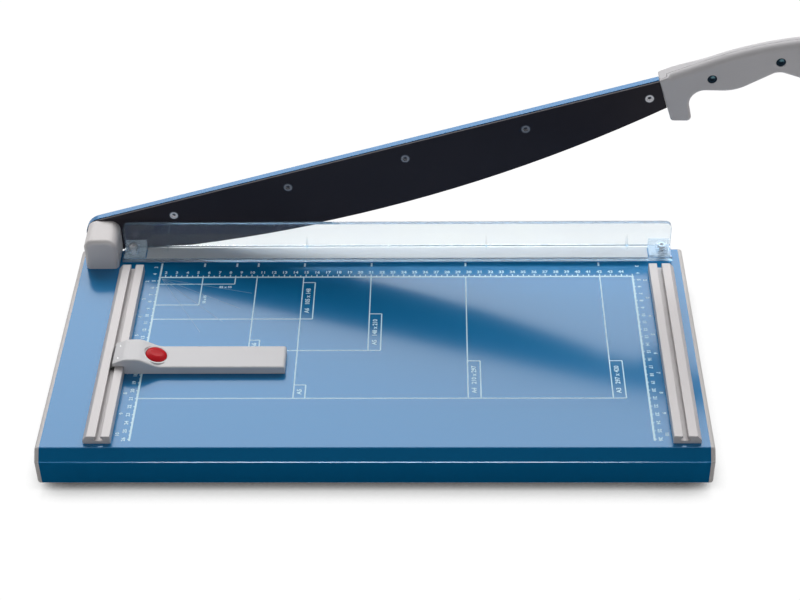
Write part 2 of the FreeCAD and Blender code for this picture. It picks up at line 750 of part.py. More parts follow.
def make_pivot_nut():
    base = ("pivot_x", "-bracket_wall - 0.1 - disc_springs * (disc_wall + disc_rise)", "pivot_height")
    nut = hex_shape("nut_flats", "0", "nut_height", base, (0, -1, 0))
    thread = "bolt_radius + 0.05"
    bore = turned_shape([("0", "-1"), (thread, "-1"), (thread, "nut_height + 1"), ("0", "nut_height + 1")],
                        base, (0, -1, 0))
    crown = turned_shape([("0", "0"), ("nut_flats * 0.56", "0"), ("nut_flats * 0.56", "nut_height - 1"),
                          ("nut_flats * 0.49", "nut_height"), ("0", "nut_height")], base, (0, -1, 0))
    add_shape("pivot_nut", [nut.common(crown).cut(bore)])


# Beam: a flat steel bar with a round heel about the pivot and a tang into the handle
def make_arm_beam():
    body = new_body("arm_beam", "arm")
    low = "heel_radius - beam_height"
    middle = "beam_middle + tang_drop"
    tang_end = "beam_end + tang_length"
    bar = [("0", low), ("beam_end", low), ("beam_end", middle + " - tang_height / 2"),
           (tang_end, middle + " - tang_height / 2"), (tang_end, middle + " + tang_height / 2"),
           ("beam_end", middle + " + tang_height / 2"), ("beam_end", "heel_radius"), ("0", "heel_radius")]
    pad(body, polygon(body, "XZ_Plane", bar, "beam_back"), "beam_wall")
    pad(body, circles(body, "XZ_Plane", [("0", "0", "heel_radius")], "beam_back"), "beam_wall")
    dress(body, "Fillet", edges_along(body, "y", [bar[3], bar[4]]), "4")
    step = [("beam_end", low), (tang_end + " + 1", low), (tang_end + " + 1", "heel_radius"),
            ("beam_end", "heel_radius")]
    pocket(body, polygon(body, "XZ_Plane", step, "blade_back + tang_step"), "tang_step + 0.5")
    holes = [("0", "0", "bush_radius + 0.02")]
    holes += [(x, "beam_middle", "blade_screw_radius + 0.05") for x in blade_screw_places]
    holes += [(x, middle, "handle_screw_radius + 0.3") for x in handle_screw_places]
    pocket(body, circles(body, "XZ_Plane", holes, "beam_back + 0.5"), "beam_wall + 1")
    dress(body, "Chamfer", edges_in(body, "y", "beam_back", long_straight), "1")


def long_straight(edge, middle):
    return edge.Curve.TypeId == "Part::GeomLine" and edge.Length > 200


blade_screw_places = spread("blade_screws", "blade_screw_first", "beam_end - blade_screw_last")
handle_screw_places = ["handle_left + handle_screw_first",
                       "handle_left + handle_screw_first + handle_screw_pitch"]


# Height of the curved cutting edge at a distance from the pivot
def edge_height(at):
    run = "((%s) - edge_low)" % at
    return "-edge_drop + edge_radius - sqrt(edge_radius * edge_radius - %s * %s)" % (run, run)


# Upper blade: straight back, round heel and a long convex edge with a ground bevel behind
def make_upper_blade():
    body = new_body("upper_blade", "arm")
    tip = "(beam_end + blade_tip)"
    outline = [("0", "blade_top"), ("0", "-blade_top"), ("edge_start", edge_height("edge_start")),
               (tip, edge_height(tip)), ("beam_end", "blade_top")]
    pad(body, polygon(body, "XZ_Plane", outline, "blade_back", {2: ("edge_radius", -1)}), "blade_wall")
    dress(body, "Chamfer", edges_in(body, "y", "blade_back", long_curve), "edge_bevel")
    pad(body, circles(body, "XZ_Plane", [("0", "0", "blade_top")], "blade_back"), "blade_wall")
    holes = [("0", "0", "bush_radius + 0.02")]
    holes += [(x, "beam_middle", "blade_screw_radius + 0.1") for x in blade_screw_places]
    pocket(body, circles(body, "XZ_Plane", holes, "blade_back + 0.5"), "blade_wall + 1")
    dress(body, "Chamfer", edges_in(body, "y", "face_gap", small_circle), "blade_wall - 0.4")


def long_curve(edge, middle):
    return edge.Curve.TypeId != "Part::GeomLine" and edge.Length > 200


def small_circle(edge, middle):
    return edge.Closed and edge.Length < value("blade_screw_radius * 8")


def make_blade_screws():
    reach = "blade_wall + beam_wall - 0.5"
    solids = [screw("flat", "blade_screw_radius", "blade_screw_radius + 2", "0", reach,
                    (x, "face_gap", "beam_middle"), (0, 1, 0)) for x in blade_screw_places]
    add_shape("blade_screws", solids, "arm")


def make_pivot_bush():
    bore, length = "shoulder_radius + run_gap", "blade_wall + beam_wall"
    profile = [(bore, "0"), ("bush_radius", "0"), ("bush_radius", length), (bore, length)]
    add_shape("pivot_bush", [turned_shape(profile, ("0", "face_gap", "0"), (0, 1, 0))], "arm")


def handle_corners():
    return [("handle_left + grip_x_%d" % k, "grip_z_%d" % k, "grip_r_%d" % k)
            for k in range(len(grip_corners))]


# One half of the moulded handle, with the tang's seat cut in it. A groove marks their seam, and
# beside the beam's end a tab of the rear half reaches over into a notch of the front one
def make_handle_half(side):
    body = new_body("handle_%s_blank" % side, "arm")
    front = side == "front"
    rear_face = "handle_parting" if front else "handle_back"
    wall = "handle_front" if front else "(handle_rear + tab_depth)"
    pad(body, rounded_outline(body, "XZ_Plane", handle_corners(), rear_face), wall)
    if front:
        dress(body, "Chamfer", edges_in(body, "y", rear_face), "seam_groove")
    middle = "beam_middle + tang_drop"
    low, high = middle + " - tang_height / 2 - 0.1", middle + " + tang_height / 2 + 0.1"
    floor, above = high + " + tab_ledge", "grip_z_2 + 10"
    if front:
        notch_end, floor = "handle_left + tab_length + tab_gap", floor + " - tab_gap"
        notch = [("handle_left - 2", floor), (notch_end, floor), (notch_end, above),
                 ("handle_left - 2", above)]
        pocket(body, polygon(body, "XZ_Plane", notch, "handle_parting + 0.5"), "tab_depth + tab_gap + 0.5")
    else:
        tab_end, below, beyond = "handle_left + tab_length", "grip_z_10 - 10", "handle_left + grip_x_4 + 10"
        around = [("handle_left - 2", floor), (tab_end, floor), (tab_end, above), (beyond, above),
                  (beyond, below), ("handle_left - 2", below)]
        pocket(body, polygon(body, "XZ_Plane", around, "handle_parting"), "tab_depth + 1")
    end = "beam_end + tang_length + 0.2"
    seat = [("beam_end - 1", low), (end, low), (end, high), ("beam_end - 1", high)]
    start = "handle_parting + 0.5" if front else "beam_back + 0.1"
    depth = "handle_parting - blade_back - tang_step + 0.6" if front else "beam_back - handle_parting + 0.6"
    pocket(body, polygon(body, "XZ_Plane", seat, start), depth)
    shanks = [(x, middle, "handle_screw_radius + 0.1") for x in handle_screw_places]
    heads = [(x, middle, "handle_head_radius + 0.1") for x in handle_screw_places]
    pocket(body, circles(body, "XZ_Plane", shanks, rear_face + " + 0.5"), wall + " + 1")
    start = "face_gap + handle_head_depth" if front else "handle_back + 0.5"
    pocket(body, circles(body, "XZ_Plane", heads, start), "handle_head_depth + 0.5")
    parts.remove(body)
    round_rim(body, "handle_%s_half" % side, "face_gap" if front else rear_face,
              "grip_x_1" if front else "grip_x_1 + 3")


# The outer rim of a handle half, rounded tightly at the bolster, widely over the crest and
# moderately along the grip, from one radius to the next along the edges between them
def round_rim(blank, label, outer, tight_end):
    edges = []
    for name in edges_in(blank, "y", outer, lambda edge, middle: not edge.Closed):
        edge = blank.Tip.Shape.getElement(name)
        ends = [edge.valueAt(edge.FirstParameter), edge.valueAt(edge.LastParameter)]
        edges.append((int(name[4:]), rim_radius(ends[0], tight_end), rim_radius(ends[1], tight_end)))
    rim = doc.addObject("Part::Fillet", label)
    rim.Label = label
    rim.Base = blank
    rim.Edges = edges
    doc.recompute()
    parts.append(rim)


def rim_radius(spot, tight_end):
    reach = spot.x - value("handle_left")
    upper = spot.z > value("grip_z_4")
    if reach < value("grip_r_11 / 2") or upper and reach < value(tight_end):
        return value("bolster_edge")
    return value("crest_edge" if upper else "handle_edge")


def make_handle_screws():
    middle = "beam_middle + tang_drop"
    grip, rise = "1.6", "(handle_head_depth - 0.6)"
    screws = [screw("cap", "handle_screw_radius", "handle_head_radius", rise,
                    "handle_front + handle_rear - handle_head_depth * 2 + " + grip,
                    (x, "face_gap + handle_head_depth", middle), (0, 1, 0)) for x in handle_screw_places]
    add_shape("handle_screws", screws, "arm")
    thread, blind = "handle_screw_radius + 0.05", grip + " + 0.2"
    profile = [(thread, "0"), ("handle_head_radius", "0"), ("handle_head_radius", rise), ("0", rise),
               ("0", blind), (thread, blind)]
    nuts = [turned_shape(profile, (x, "handle_back - handle_head_depth", middle), (0, 1, 0))
            for x in handle_screw_places]
    add_shape("handle_nuts", nuts, "arm")


# Clear clamp bar: an upright blade guard and a foot that presses the paper
def make_clamp_guard():
    body = new_body("clamp_guard")
    back, front = "-guard_gap", "-guard_gap - guard_wall"
    low, floor = "guard_lift", "guard_lift + guard_relief"
    foot_top = "guard_lift + guard_foot"
    section = [(back, floor), (back, "guard_height"), (front, "guard_height"), (front, foot_top),
               ("-guard_depth", foot_top), ("-guard_depth", low), ("-guard_depth + guard_lip", low),
               ("-guard_depth + guard_lip", floor)]
    pad(body, polygon(body, "YZ_Plane", section, "guard_left"), "guard_right - guard_left")
    dress(body, "Fillet", edges_along(body, "x", [section[3]]), "1.6")
    corners = [("guard_left", "guard_height"), ("guard_right", "guard_height")]
    dress(body, "Fillet", edges_along(body, "y", corners), "guard_corner")
    dress(body, "Chamfer", edges_along(body, "x", [section[4]]), "0.9")
    for offset in ("-gusset_outer", "-gusset_inner", "gusset_inner", "gusset_outer"):
        web = [(front + " + 0.2", foot_top + " - 0.2"), (front + " + 0.2", foot_top + " + gusset_height"),
               (front + " - gusset_depth", foot_top + " - 0.2")]
        start = "guard_middle + %s - gusset_wall / 2" % offset
        pad(body, polygon(body, "YZ_Plane", web, start), "gusset_wall")
    holes = [(x, y, "spring_radius + spring_wire / 2 + 0.5") for x, y in post_places]
    pocket(body, circles(body, "XY_Plane", holes, "guard_lift - 0.5"), "guard_foot + 1")


# Stepped clear housing on each end of the clamp bar, which holds a spring round its guide post
def make_guard_end(side):
    body = new_body("guard_end_" + side)
    left = side == "left"
    seat = "guard_lift + guard_foot"
    back = "-guard_gap - guard_wall - 1.7"
    middle = "post_left" if left else "post_right"
    outer = "guard_left + end_inset" if left else "guard_right - end_inset - end_width"
    plate = [(outer, back), (outer, "-guard_depth + 1.4"), (outer + " + end_width", "-guard_depth + 1.4"),
             (outer + " + end_width", back)]
    pad(body, polygon(body, "XY_Plane", plate, seat), "end_plate")
    wall = [(outer, back), (outer, back + " - 2"), (outer + " + end_width", back + " - 2"),
            (outer + " + end_width", back)]
    pad(body, polygon(body, "XY_Plane", wall, seat), "end_back")
    block_left = middle + " - end_block / 2"
    block_front = "-post_depth - end_block / 2"
    block = [(block_left, back), (block_left, block_front),
             (block_left + " + end_block", block_front), (block_left + " + end_block", back)]
    pad(body, polygon(body, "XY_Plane", block, seat), "guard_foot + end_roof")
    step = [(block_left + " + 1", back), (block_left + " + 1", block_front + " - end_step"),
            (block_left + " + end_block - 1", block_front + " - end_step"),
            (block_left + " + end_block - 1", back)]
    pad(body, polygon(body, "XY_Plane", step, seat), "guard_foot")
    bore = [(middle, "-post_depth", "spring_radius + spring_wire / 2 + 0.5")]
    pocket(body, circles(body, "XY_Plane", bore, seat + " - 0.5"), "guard_foot + 0.5")
    shank = [(middle, "-post_depth", "post_radius + 0.2")]
    pocket(body, circles(body, "XY_Plane", shank, seat), "end_back + 2")


# Guide posts: shoulder screws in the back bar whose heads stop the clamp bar's lift
def make_guide_posts():
    head_seat = "guard_lift + 2 * guard_foot + end_roof"
    reach = "(%s) + sheet_wall + bar_height * 0.6" % head_seat
    solids = [screw("cap", "post_radius", "post_head", "post_head_height", reach,
                    (x, y, head_seat), (0, 0, -1)) for x, y in post_places]
    add_shape("guide_posts", solids)


# Points and tangents of a coil, two in each turn
def coil_points(radius, rise, turns):
    points = []
    for index in range(int(turns * 2) + 1):
        angle = math.pi * index
        slope = rise / (2 * math.pi)
        point = FreeCAD.Vector(radius * math.cos(angle), radius * math.sin(angle), rise * index / 2)
        tangent = FreeCAD.Vector(-radius * math.sin(angle), radius * math.cos(angle), slope).normalize()
        points.append((point, tangent))
    return points


# Two arcs from one point and tangent to the next, so that the wire runs smoothly round the coil
def biarc(here, way, there, way_there):
    gap = there - here
    a = 2 * (1 - way.dot(way_there))
    b = 2 * gap.dot(way + way_there)
    c = -gap.dot(gap)
    reach = (-b + math.sqrt(b * b - 4 * a * c)) / (2 * a)
    joint = (here + way * reach + there - way_there * reach) / 2
    arcs = []
    for start, direction, end in ((here, way, joint), (joint, there - way_there * reach - joint, there)):
        chord = end - start
        normal = direction.cross(chord).cross(direction).normalize()
        radius = chord.dot(chord) / (2 * chord.dot(normal))
        centre = start + normal * radius
        middle = centre + ((start - centre) + (end - centre)).normalize() * radius
        arcs.append(Part.Arc(start, middle, end).toShape())
    return arcs


# The least distance between points of a coil that are over half a turn apart, less the wire
def least_gap(path, turns, wire_width):
    in_turn = 24
    spots = path.discretize(int(turns) * in_turn + 1)
    nearest = min(spot.distanceToPoint(other) for index, spot in enumerate(spots)
                  for other in spots[index + in_turn // 2 + 1:])
    return nearest - wire_width


# An open coil spring as one tube of six-sided wire; prints the least gap of the tube to itself
def coil(label, radius, wire, turns, height, base, axis):
    wire_width, climb = value(wire), (value(height) - value(wire)) / value(turns)
    path = coil_points(value(radius), climb, value(turns))
    arcs = []
    for (here, way), (there, way_there) in zip(path, path[1:]):
        arcs += biarc(here, way, there, way_there)
    route = Part.Wire(arcs)
    print("%s least gap %.2f mm" % (label, least_gap(route, value(turns), wire_width)))
    start, way = path[0]
    square_on = FreeCAD.Rotation(FreeCAD.Vector(0, 0, 1), way)
    ring = []
    for side in range(6):
        angle = math.radians(60 * side)
        spoke = FreeCAD.Vector(math.cos(angle), math.sin(angle), 0) * (wire_width / 2)
        ring.append(start + square_on.multVec(spoke))
    sweep = Part.BRepOffsetAPI.MakePipeShell(route)
    sweep.add(Part.makePolygon(ring + ring[:1]))
    sweep.build()
    sweep.makeSolid()
    solid = sweep.shape()
    solid.translate(FreeCAD.Vector(0, 0, wire_width / 2))
    turn_to = FreeCAD.Rotation(FreeCAD.Vector(0, 0, 1), FreeCAD.Vector(*axis))
    stand = FreeCAD.Placement(FreeCAD.Vector(*[value(text) for text in base]), turn_to)
    solid.Placement = stand.multiply(solid.Placement)
    return solid


def make_guard_springs():
    height = "guard_lift + 2 * guard_foot - 0.1"
    for label, x in (("guard_spring_left", "post_left"), ("guard_spring_right", "post_right")):
        spring = coil(label, "spring_radius", "spring_wire", "spring_turns", height,
                      (x, "-post_depth", "0.05"), (0, 0, 1))
        add_shape(label, [spring])


gauge_front = "-(gauge_back + gauge_width)"
gauge_middle = "-(gauge_back + gauge_width / 2)"
channel_end = "(brake_length + brake_room)"


# Back gauge: a bar along the table and a humped head that rides on the rail's inner ridge
def make_gauge_body():
    body = new_body("gauge_body")
    ridge_top = "rail_height + ridge_gap"
    outline = [("-gauge_left", ridge_top), ("-gauge_left", "gauge_end"), ("gauge_crest_at", "gauge_crest"),
               ("gauge_crest_at + gauge_crest_width", "gauge_crest"),
               ("gauge_foot_at", "gauge_height"), ("gauge_length", "gauge_height"),
               ("gauge_length", "gauge_lift"), ("ridge_gap", "gauge_lift"), ("ridge_gap", ridge_top)]
    pad(body, polygon(body, "XZ_Plane", outline, "-gauge_back"), "gauge_width")
    dress(body, "Fillet", edges_along(body, "y", [outline[2], outline[3]]), "12")
    dress(body, "Fillet", edges_along(body, "y", [outline[4]]), "16")
    dress(body, "Fillet", edges_along(body, "y", [outline[1], outline[5]]), "2.2")
    dress(body, "Fillet", edges_in(body, "y", gauge_front, above_table), "1")
    dress(body, "Fillet", edges_in(body, "y", "-gauge_back", above_table), "1")
    cut_gauge_hollows(body)
    return body


def above_table(edge, middle):
    return middle.z > value("gauge_height - 0.05") and middle.x > value("-gauge_left + 0.1")


# The button's frame: its axis leans with the head's slope
def button_frame():
    lean = FreeCAD.Rotation(FreeCAD.Vector(0, 1, 0), value("button_tilt"))
    spot = [value(text) for text in ("button_at", gauge_middle, "button_height")]
    return FreeCAD.Placement(FreeCAD.Vector(*spot), lean)


# Pockets below the bar, the button's collar and well, the brake's channel and the shoe's recess
def cut_gauge_hollows(body):
    low, high = gauge_front + " + gauge_wall", "-gauge_back - gauge_wall"
    run = "((gauge_length - gauge_wall - hollow_start + hollow_rib) / gauge_hollows)"
    depth = "gauge_height - gauge_lift - gauge_wall + 0.5"
    for index in range(int(value("gauge_hollows"))):
        start = "hollow_start + %d * %s" % (index, run)
        end = start + " + %s - hollow_rib" % run
        hollow = [(start, low), (end, low), (end, high), (start, high)]
        pocket(body, polygon(body, "XY_Plane", hollow, "gauge_lift - 0.5"), depth)
    near, far = gauge_front + " + 2", "-gauge_back - 2"
    recess = [("-gauge_left - 1", near), ("-1", near), ("-1", far), ("-gauge_left - 1", far)]
    pocket(body, polygon(body, "XY_Plane", recess, "rail_height"), "ridge_gap + shoe_flange + 0.1")
    taps = [(x, y, "shoe_screw + 0.05") for x, y in shoe_places]
    pocket(body, circles(body, "XY_Plane", taps, "rail_height"), "ridge_gap + shoe_flange + 3.5")


shoe_places = [("shoe_screw_at", "-gauge_back - shoe_screw_inset"),
               ("shoe_screw_at", gauge_front + " + shoe_screw_inset")]


# The head's collar, well and channel are cut from the bar's shape, since the well leans
def make_gauge():
    body = make_gauge_body()
    stand = button_frame()
    well_radius = value("button_radius + button_gap")
    well_depth = value("button_skirt + button_travel + button_gap")
    collar_radius, drop = value("button_radius + button_gap + collar_wall"), value("collar_drop")
    collar = Part.makeCylinder(collar_radius, drop, FreeCAD.Vector(0, 0, -drop))
    above = Part.makeCylinder(collar_radius, value("gauge_crest"))
    well = Part.makeCylinder(well_radius, well_depth + 1, FreeCAD.Vector(0, 0, -well_depth))
    for solid in (collar, above, well):
        solid.Placement = stand.multiply(solid.Placement)
    below = Part.makeBox(value("button_at") * 2, value("gauge_width"), drop,
                         FreeCAD.Vector(0, value(gauge_front), value("gauge_lift + 0.3") - drop))
    half, middle = value("brake_width / 2 + brake_gap"), value(gauge_middle)
    channel = Part.makeBox(value(channel_end), 2 * half, value("brake_height + 2 * brake_gap"),
                           FreeCAD.Vector(0, middle - half, value("brake_lift - brake_gap")))
    corner = FreeCAD.Vector(value("button_at - button_radius + 0.6"), middle - half, value("brake_lift + 1"))
    slot = Part.makeBox(value("button_radius + brake_gap"), 2 * half, value("gauge_height"), corner)
    slot = slot.common(well_reach(stand))
    body.Visibility = False
    parts.remove(body)
    solid = body.Tip.Shape.fuse(collar.cut(below))
    for hollow in (above, well, channel, slot):
        solid = solid.cut(hollow)
    solid = solid.removeSplitter()
    body.Label = "gauge_blank"
    add_shape("gauge_body", solid.Solids)


# The room below the well in which the button's tongue moves
def well_reach(stand):
    depth = value("gauge_crest")
    reach = Part.makeCylinder(value("button_radius - 1"), depth, FreeCAD.Vector(0, 0, -depth))
    reach.Placement = stand.multiply(reach.Placement)
    return reach


# Shoe: a dark slider in the rail's undercut groove, its flange in a recess of the head
def make_gauge_shoe():
    body = new_body("gauge_shoe")
    groove_right, groove_left = "-ridge_width", "-ridge_width - groove_width"
    slot_right, slot_left = groove_right + " + slot_side - 0.25", groove_left + " - slot_side + 0.25"
    neck_right, neck_left = groove_right + " - 0.25", groove_left + " + 1.4"
    floor, roof = "groove_floor + 0.2", "slot_roof - 0.25"
    top = "rail_height + ridge_gap + shoe_flange"
    section = [(slot_left, floor), (slot_left, roof), (neck_left, roof), (neck_left, top), ("-1.3", top),
               ("-1.3", "rail_height + ridge_gap"), (neck_right, "rail_height + ridge_gap"),
               (neck_right, roof), (slot_right, roof), (slot_right, floor)]
    pad(body, polygon(body, "XZ_Plane", section, "-gauge_back - 2.3"), "gauge_width - 4.6")
    holes = [(x, y, "shoe_screw + 0.1") for x, y in shoe_places]
    pocket(body, circles(body, "XY_Plane", holes, "rail_height"), "ridge_gap + shoe_flange + 0.5")
    rims = edges_in(body, "z", "rail_height + ridge_gap", lambda edge, middle: edge.Closed)
    dress(body, "Chamfer", rims, "1")


def make_shoe_screws():
    solids = [screw("flat", "shoe_screw", "shoe_screw + 1.05", "0", "shoe_flange + 3",
                    (x, y, "rail_height + ridge_gap + 0.05"), (0, 0, 1)) for x, y in shoe_places]
    add_shape("shoe_screws", solids)


# Release button: a domed cap with a wedge tongue below it that drives the brake
def make_gauge_button():
    stand = button_frame()
    radius, dome = value("button_radius"), value("button_dome")
    skirt = value("button_skirt")
    ball = (radius ** 2 + dome ** 2) / (2 * dome)
    cap = Part.makeCylinder(radius, skirt + dome, FreeCAD.Vector(0, 0, -skirt))
    cap = cap.common(Part.makeSphere(ball, FreeCAD.Vector(0, 0, dome - ball)))
    cap = cap.makeFillet(0.8, [edge for edge in cap.Edges if edge.Closed and abs(edge.CenterOfMass.z) < 1e-3])
    hollow = value("crease_radius")
    start = FreeCAD.Vector(-radius, 0, hollow + dome - value("crease_depth"))
    cap = cap.cut(Part.makeCylinder(hollow, 2 * radius, start, FreeCAD.Vector(1, 0, 0)))
    cap.Placement = stand
    half = value("brake_width / 2 - 0.6")
    middle = value(gauge_middle)
    low_x, low_z, high_x, high_z = [value(text) for text in wedge_line]
    gap = 0.08
    rise = value("button_travel + 0.05")
    tip_x, tip_z = low_x + rise * value("wedge_run") - gap, low_z + rise
    outline = [(tip_x, tip_z), (high_x - gap, high_z), (high_x - gap, high_z + 5.6),
               (low_x - 1.5, high_z + 6.6), (low_x - 1.5, tip_z + 1), (low_x, tip_z)]
    points = [FreeCAD.Vector(x, middle + half, z) for x, z in outline]
    tongue = Part.Face(Part.makePolygon(points + points[:1])).extrude(FreeCAD.Vector(0, -2 * half, 0))
    add_shape("gauge_button", [cap.fuse(tongue).removeSplitter()])


# Ends of the sloped face between tongue and brake. It rises to the right so that the brake
# moves one part for two parts of the button's travel
wedge_line = ("wedge_at", "brake_lift + brake_bar", "wedge_at + (brake_height - brake_bar) * wedge_run",
              "brake_lift + brake_height")


# Brake: pressed against the rail's ridge by its spring, drawn back by the button
def make_gauge_brake():
    half = value("brake_width / 2")
    middle = value(gauge_middle)
    low_x, low_z, high_x, high_z = [value(text) for text in wedge_line]
    left, right = value("face_gap"), value("brake_length")
    bottom = value("brake_lift")
    outline = [(left, bottom), (right, bottom), (right, high_z), (high_x, high_z), (low_x, low_z),
               (value("brake_pad"), low_z), (value("brake_pad"), high_z), (left, high_z)]
    points = [FreeCAD.Vector(x, middle + half, z) for x, z in outline]
    solid = Part.Face(Part.makePolygon(points + points[:1])).extrude(FreeCAD.Vector(0, -2 * half, 0))
    add_shape("gauge_brake", [solid])


def make_brake_spring():
    start = "brake_length + 0.1"
    length = "brake_room - brake_gap"
    solid = coil("brake_spring", "brake_coil", "brake_wire", "brake_turns", length,
                 (start, gauge_middle, "brake_lift + brake_height / 2"), (1, 0, 0))
    add_shape("brake_spring", [solid])


# Rubber feet under the lips, with a recess for the screw
def make_feet():
    names = ["foot_back_left", "foot_front_left", "foot_back_right", "foot_front_right"]
    bore, recess = "foot_screw + 0.15", "foot_radius / 2 + 0.1"
    profile = [(bore, "-foot_height + foot_recess"), (recess, "-foot_height + foot_recess"),
               (recess, "-foot_height"), ("foot_radius - 1", "-foot_height"),
               ("foot_radius - 0.2", "-foot_height + 1"), ("foot_radius", "0"), (bore, "0")]
    for name, (x, y) in zip(names, foot_places):
        add_shape(name, [turned_shape(profile, (x, y, "-sheet_drop"), (0, 0, 1))])
    reach = "foot_height - foot_recess + sheet_wall + 2"
    seat = "-sheet_drop - foot_height + foot_recess"
    screws = [screw("pan", "foot_screw", "foot_screw * 2 - 0.1", "2", reach, (x, y, seat), (0, 0, 1))
              for x, y in foot_places]
    add_shape("foot_screws", screws)


def build_all():
    make_table_shell()
    make_end_cap("left")
    make_end_cap("right")
    make_back_bar()
    make_counter_blade()
    make_counter_screws()
    make_guide_rail("left")
    make_guide_rail("right")
    make_rail_screws()
    make_pivot_bracket()
    make_bracket_screws()
    make_pivot_cover()
    make_cover_screws()
    make_pivot_bolt()
    make_thrust_washer()
    make_disc_springs()
    make_pivot_nut()
    make_arm_beam()
    make_upper_blade()
    make_blade_screws()
    make_pivot_bush()
    make_handle_half("front")
    make_handle_half("rear")
    make_handle_screws()
    make_clamp_guard()
    make_guard_end("left")
    make_guard_end("right")
    make_guide_posts()
    make_guard_springs()
    make_gauge()
    make_gauge_shoe()
    make_shoe_screws()
    make_gauge_button()
    make_gauge_brake()
    make_brake_spring()
    make_feet()


build_all()
doc.recompute()

for item in doc.Objects:
    if "Invalid" in item.State or "Error" in item.State:
        raise ValueError("%s did not recompute: %s" % (item.Name, item.State))
for piece in parts:
    shape = piece.Shape
    if shape.isNull() or not shape.isValid():
        raise ValueError(piece.Label + " has no valid shape")
for piece in parts:
    piece.Shape.exportStep("parts/%s.step" % piece.Label)
    print(piece.Label, "%d solids, %.0f mm3" % (len(piece.Shape.Solids), piece.Shape.Volume))
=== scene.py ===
# Lever paper cutter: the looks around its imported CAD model, for Blender 4.5.
# Places are written in the cutter's own millimetres: x from the left paper stop, y from the
# cutting edge towards the back, z from the table top.
import math

import bmesh
import bpy
from mathutils import Matrix, Vector


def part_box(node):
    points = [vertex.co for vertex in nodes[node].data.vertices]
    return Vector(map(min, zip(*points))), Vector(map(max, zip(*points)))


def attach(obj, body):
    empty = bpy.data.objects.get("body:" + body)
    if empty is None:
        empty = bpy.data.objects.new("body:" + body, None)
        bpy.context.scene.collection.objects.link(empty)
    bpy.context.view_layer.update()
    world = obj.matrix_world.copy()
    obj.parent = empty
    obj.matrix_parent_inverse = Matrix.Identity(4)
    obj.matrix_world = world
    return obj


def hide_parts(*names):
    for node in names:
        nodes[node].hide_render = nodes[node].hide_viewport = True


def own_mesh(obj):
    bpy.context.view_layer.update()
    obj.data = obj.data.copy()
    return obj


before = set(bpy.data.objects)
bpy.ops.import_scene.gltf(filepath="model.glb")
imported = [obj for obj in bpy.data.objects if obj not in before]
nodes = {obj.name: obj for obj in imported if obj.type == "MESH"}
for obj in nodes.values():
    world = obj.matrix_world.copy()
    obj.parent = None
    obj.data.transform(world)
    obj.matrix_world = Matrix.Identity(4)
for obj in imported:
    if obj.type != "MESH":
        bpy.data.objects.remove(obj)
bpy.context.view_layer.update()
print("frame loaded:", len(nodes), "nodes")

# The cutter's own origin in the row frame, from nodes whose place is known
machine = {
    "tableLeft": -59.0,        # left end of the folded sheet
    "edgePlane": 0.0,          # back face of the counter blade
    "underTable": -33.4,       # underside of the folded sheet
}
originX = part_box("table_shell")[0].x - machine["tableLeft"] / 1000
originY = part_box("counter_blade")[1].y - machine["edgePlane"] / 1000
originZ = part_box("table_shell")[0].z - machine["underTable"] / 1000


def at(x, y, z):
    return Vector((originX + x / 1000, originY + y / 1000, originZ + z / 1000))


# The camera stands where the photographer's did
cameraView = {
    "film": 36,                # mm wide
    "lens": 1795 / 800,        # in widths of the film
    "place": (271.96, -1334.48, 1032.07),
    "yaw": -1.59,              # degrees
    "dip": 39.40,
    "roll": -1.13,
    "clip": (0.05, 50),        # metres
}


def makeCamera():
    yaw, dip, roll = (math.radians(cameraView[name]) for name in ("yaw", "dip", "roll"))
    ahead = Vector((math.sin(yaw) * math.cos(dip), math.cos(yaw) * math.cos(dip), -math.sin(dip)))
    right = Vector((math.cos(yaw), -math.sin(yaw), 0))
    up = right.cross(ahead)
    rightTurned = right * math.cos(roll) + up * math.sin(roll)
    upTurned = up * math.cos(roll) - right * math.sin(roll)
    data = bpy.data.cameras.new("photoCamera")
    data.lens = cameraView["lens"] * cameraView["film"]
    data.sensor_width = cameraView["film"]
    data.clip_start, data.clip_end = cameraView["clip"]
    camera = bpy.data.objects.new("photoCamera", data)
    bpy.context.scene.collection.objects.link(camera)
    turn = Matrix((rightTurned, upTurned, -ahead)).transposed().to_4x4()
    camera.matrix_world = Matrix.Translation(at(*cameraView["place"])) @ turn
    bpy.context.scene.camera = camera


makeCamera()
print("camera placed")


def newGroup(name, inputs, outputs):
    group = bpy.data.node_groups.new(name, "ShaderNodeTree")
    for label, kind, value in inputs:
        socket = group.interface.new_socket(name=label, in_out="INPUT", socket_type=kind)
        if value is not None:
            socket.default_value = value
    for label, kind in outputs:
        group.interface.new_socket(name=label, in_out="OUTPUT", socket_type=kind)
    return group, group.nodes.new("NodeGroupInput"), group.nodes.new("NodeGroupOutput")


def addNode(tree, kind, **values):
    node = tree.nodes.new(kind)
    for name, value in values.items():
        setattr(node, name, value)
    return node


def setInputs(node, **values):
    for name, value in values.items():
        node.inputs[name].default_value = value
    return node


def setRange(node, fromMin, fromMax, toMin, toMax):
    for name, value in (("From Min", fromMin), ("From Max", fromMax), ("To Min", toMin),
                        ("To Max", toMax)):
        node.inputs[name].default_value = value


# Lays a colour over a shader's base colour where a mask says
def mixIntoColor(tree, shader, mask, color):
    mixed = addNode(tree, "ShaderNodeMix", data_type="RGBA")
    mixed.inputs[7].default_value = color
    tree.links.new(mask, mixed.inputs["Factor"])
    tree.links.new(shader.inputs["Base Color"].links[0].from_socket, mixed.inputs[6])
    tree.links.new(mixed.outputs[2], shader.inputs["Base Color"])


effects = {
    "grainNoise": 0.37,        # scale of a grain's noise, in shares of its cells' scale
    "dustFrom": 0.6,           # z of the normal where dust begins
    "dustScale": 420.0,
    "dustColor": (0.62, 0.61, 0.58, 1),
    "hazeRoughness": 0.6,
}


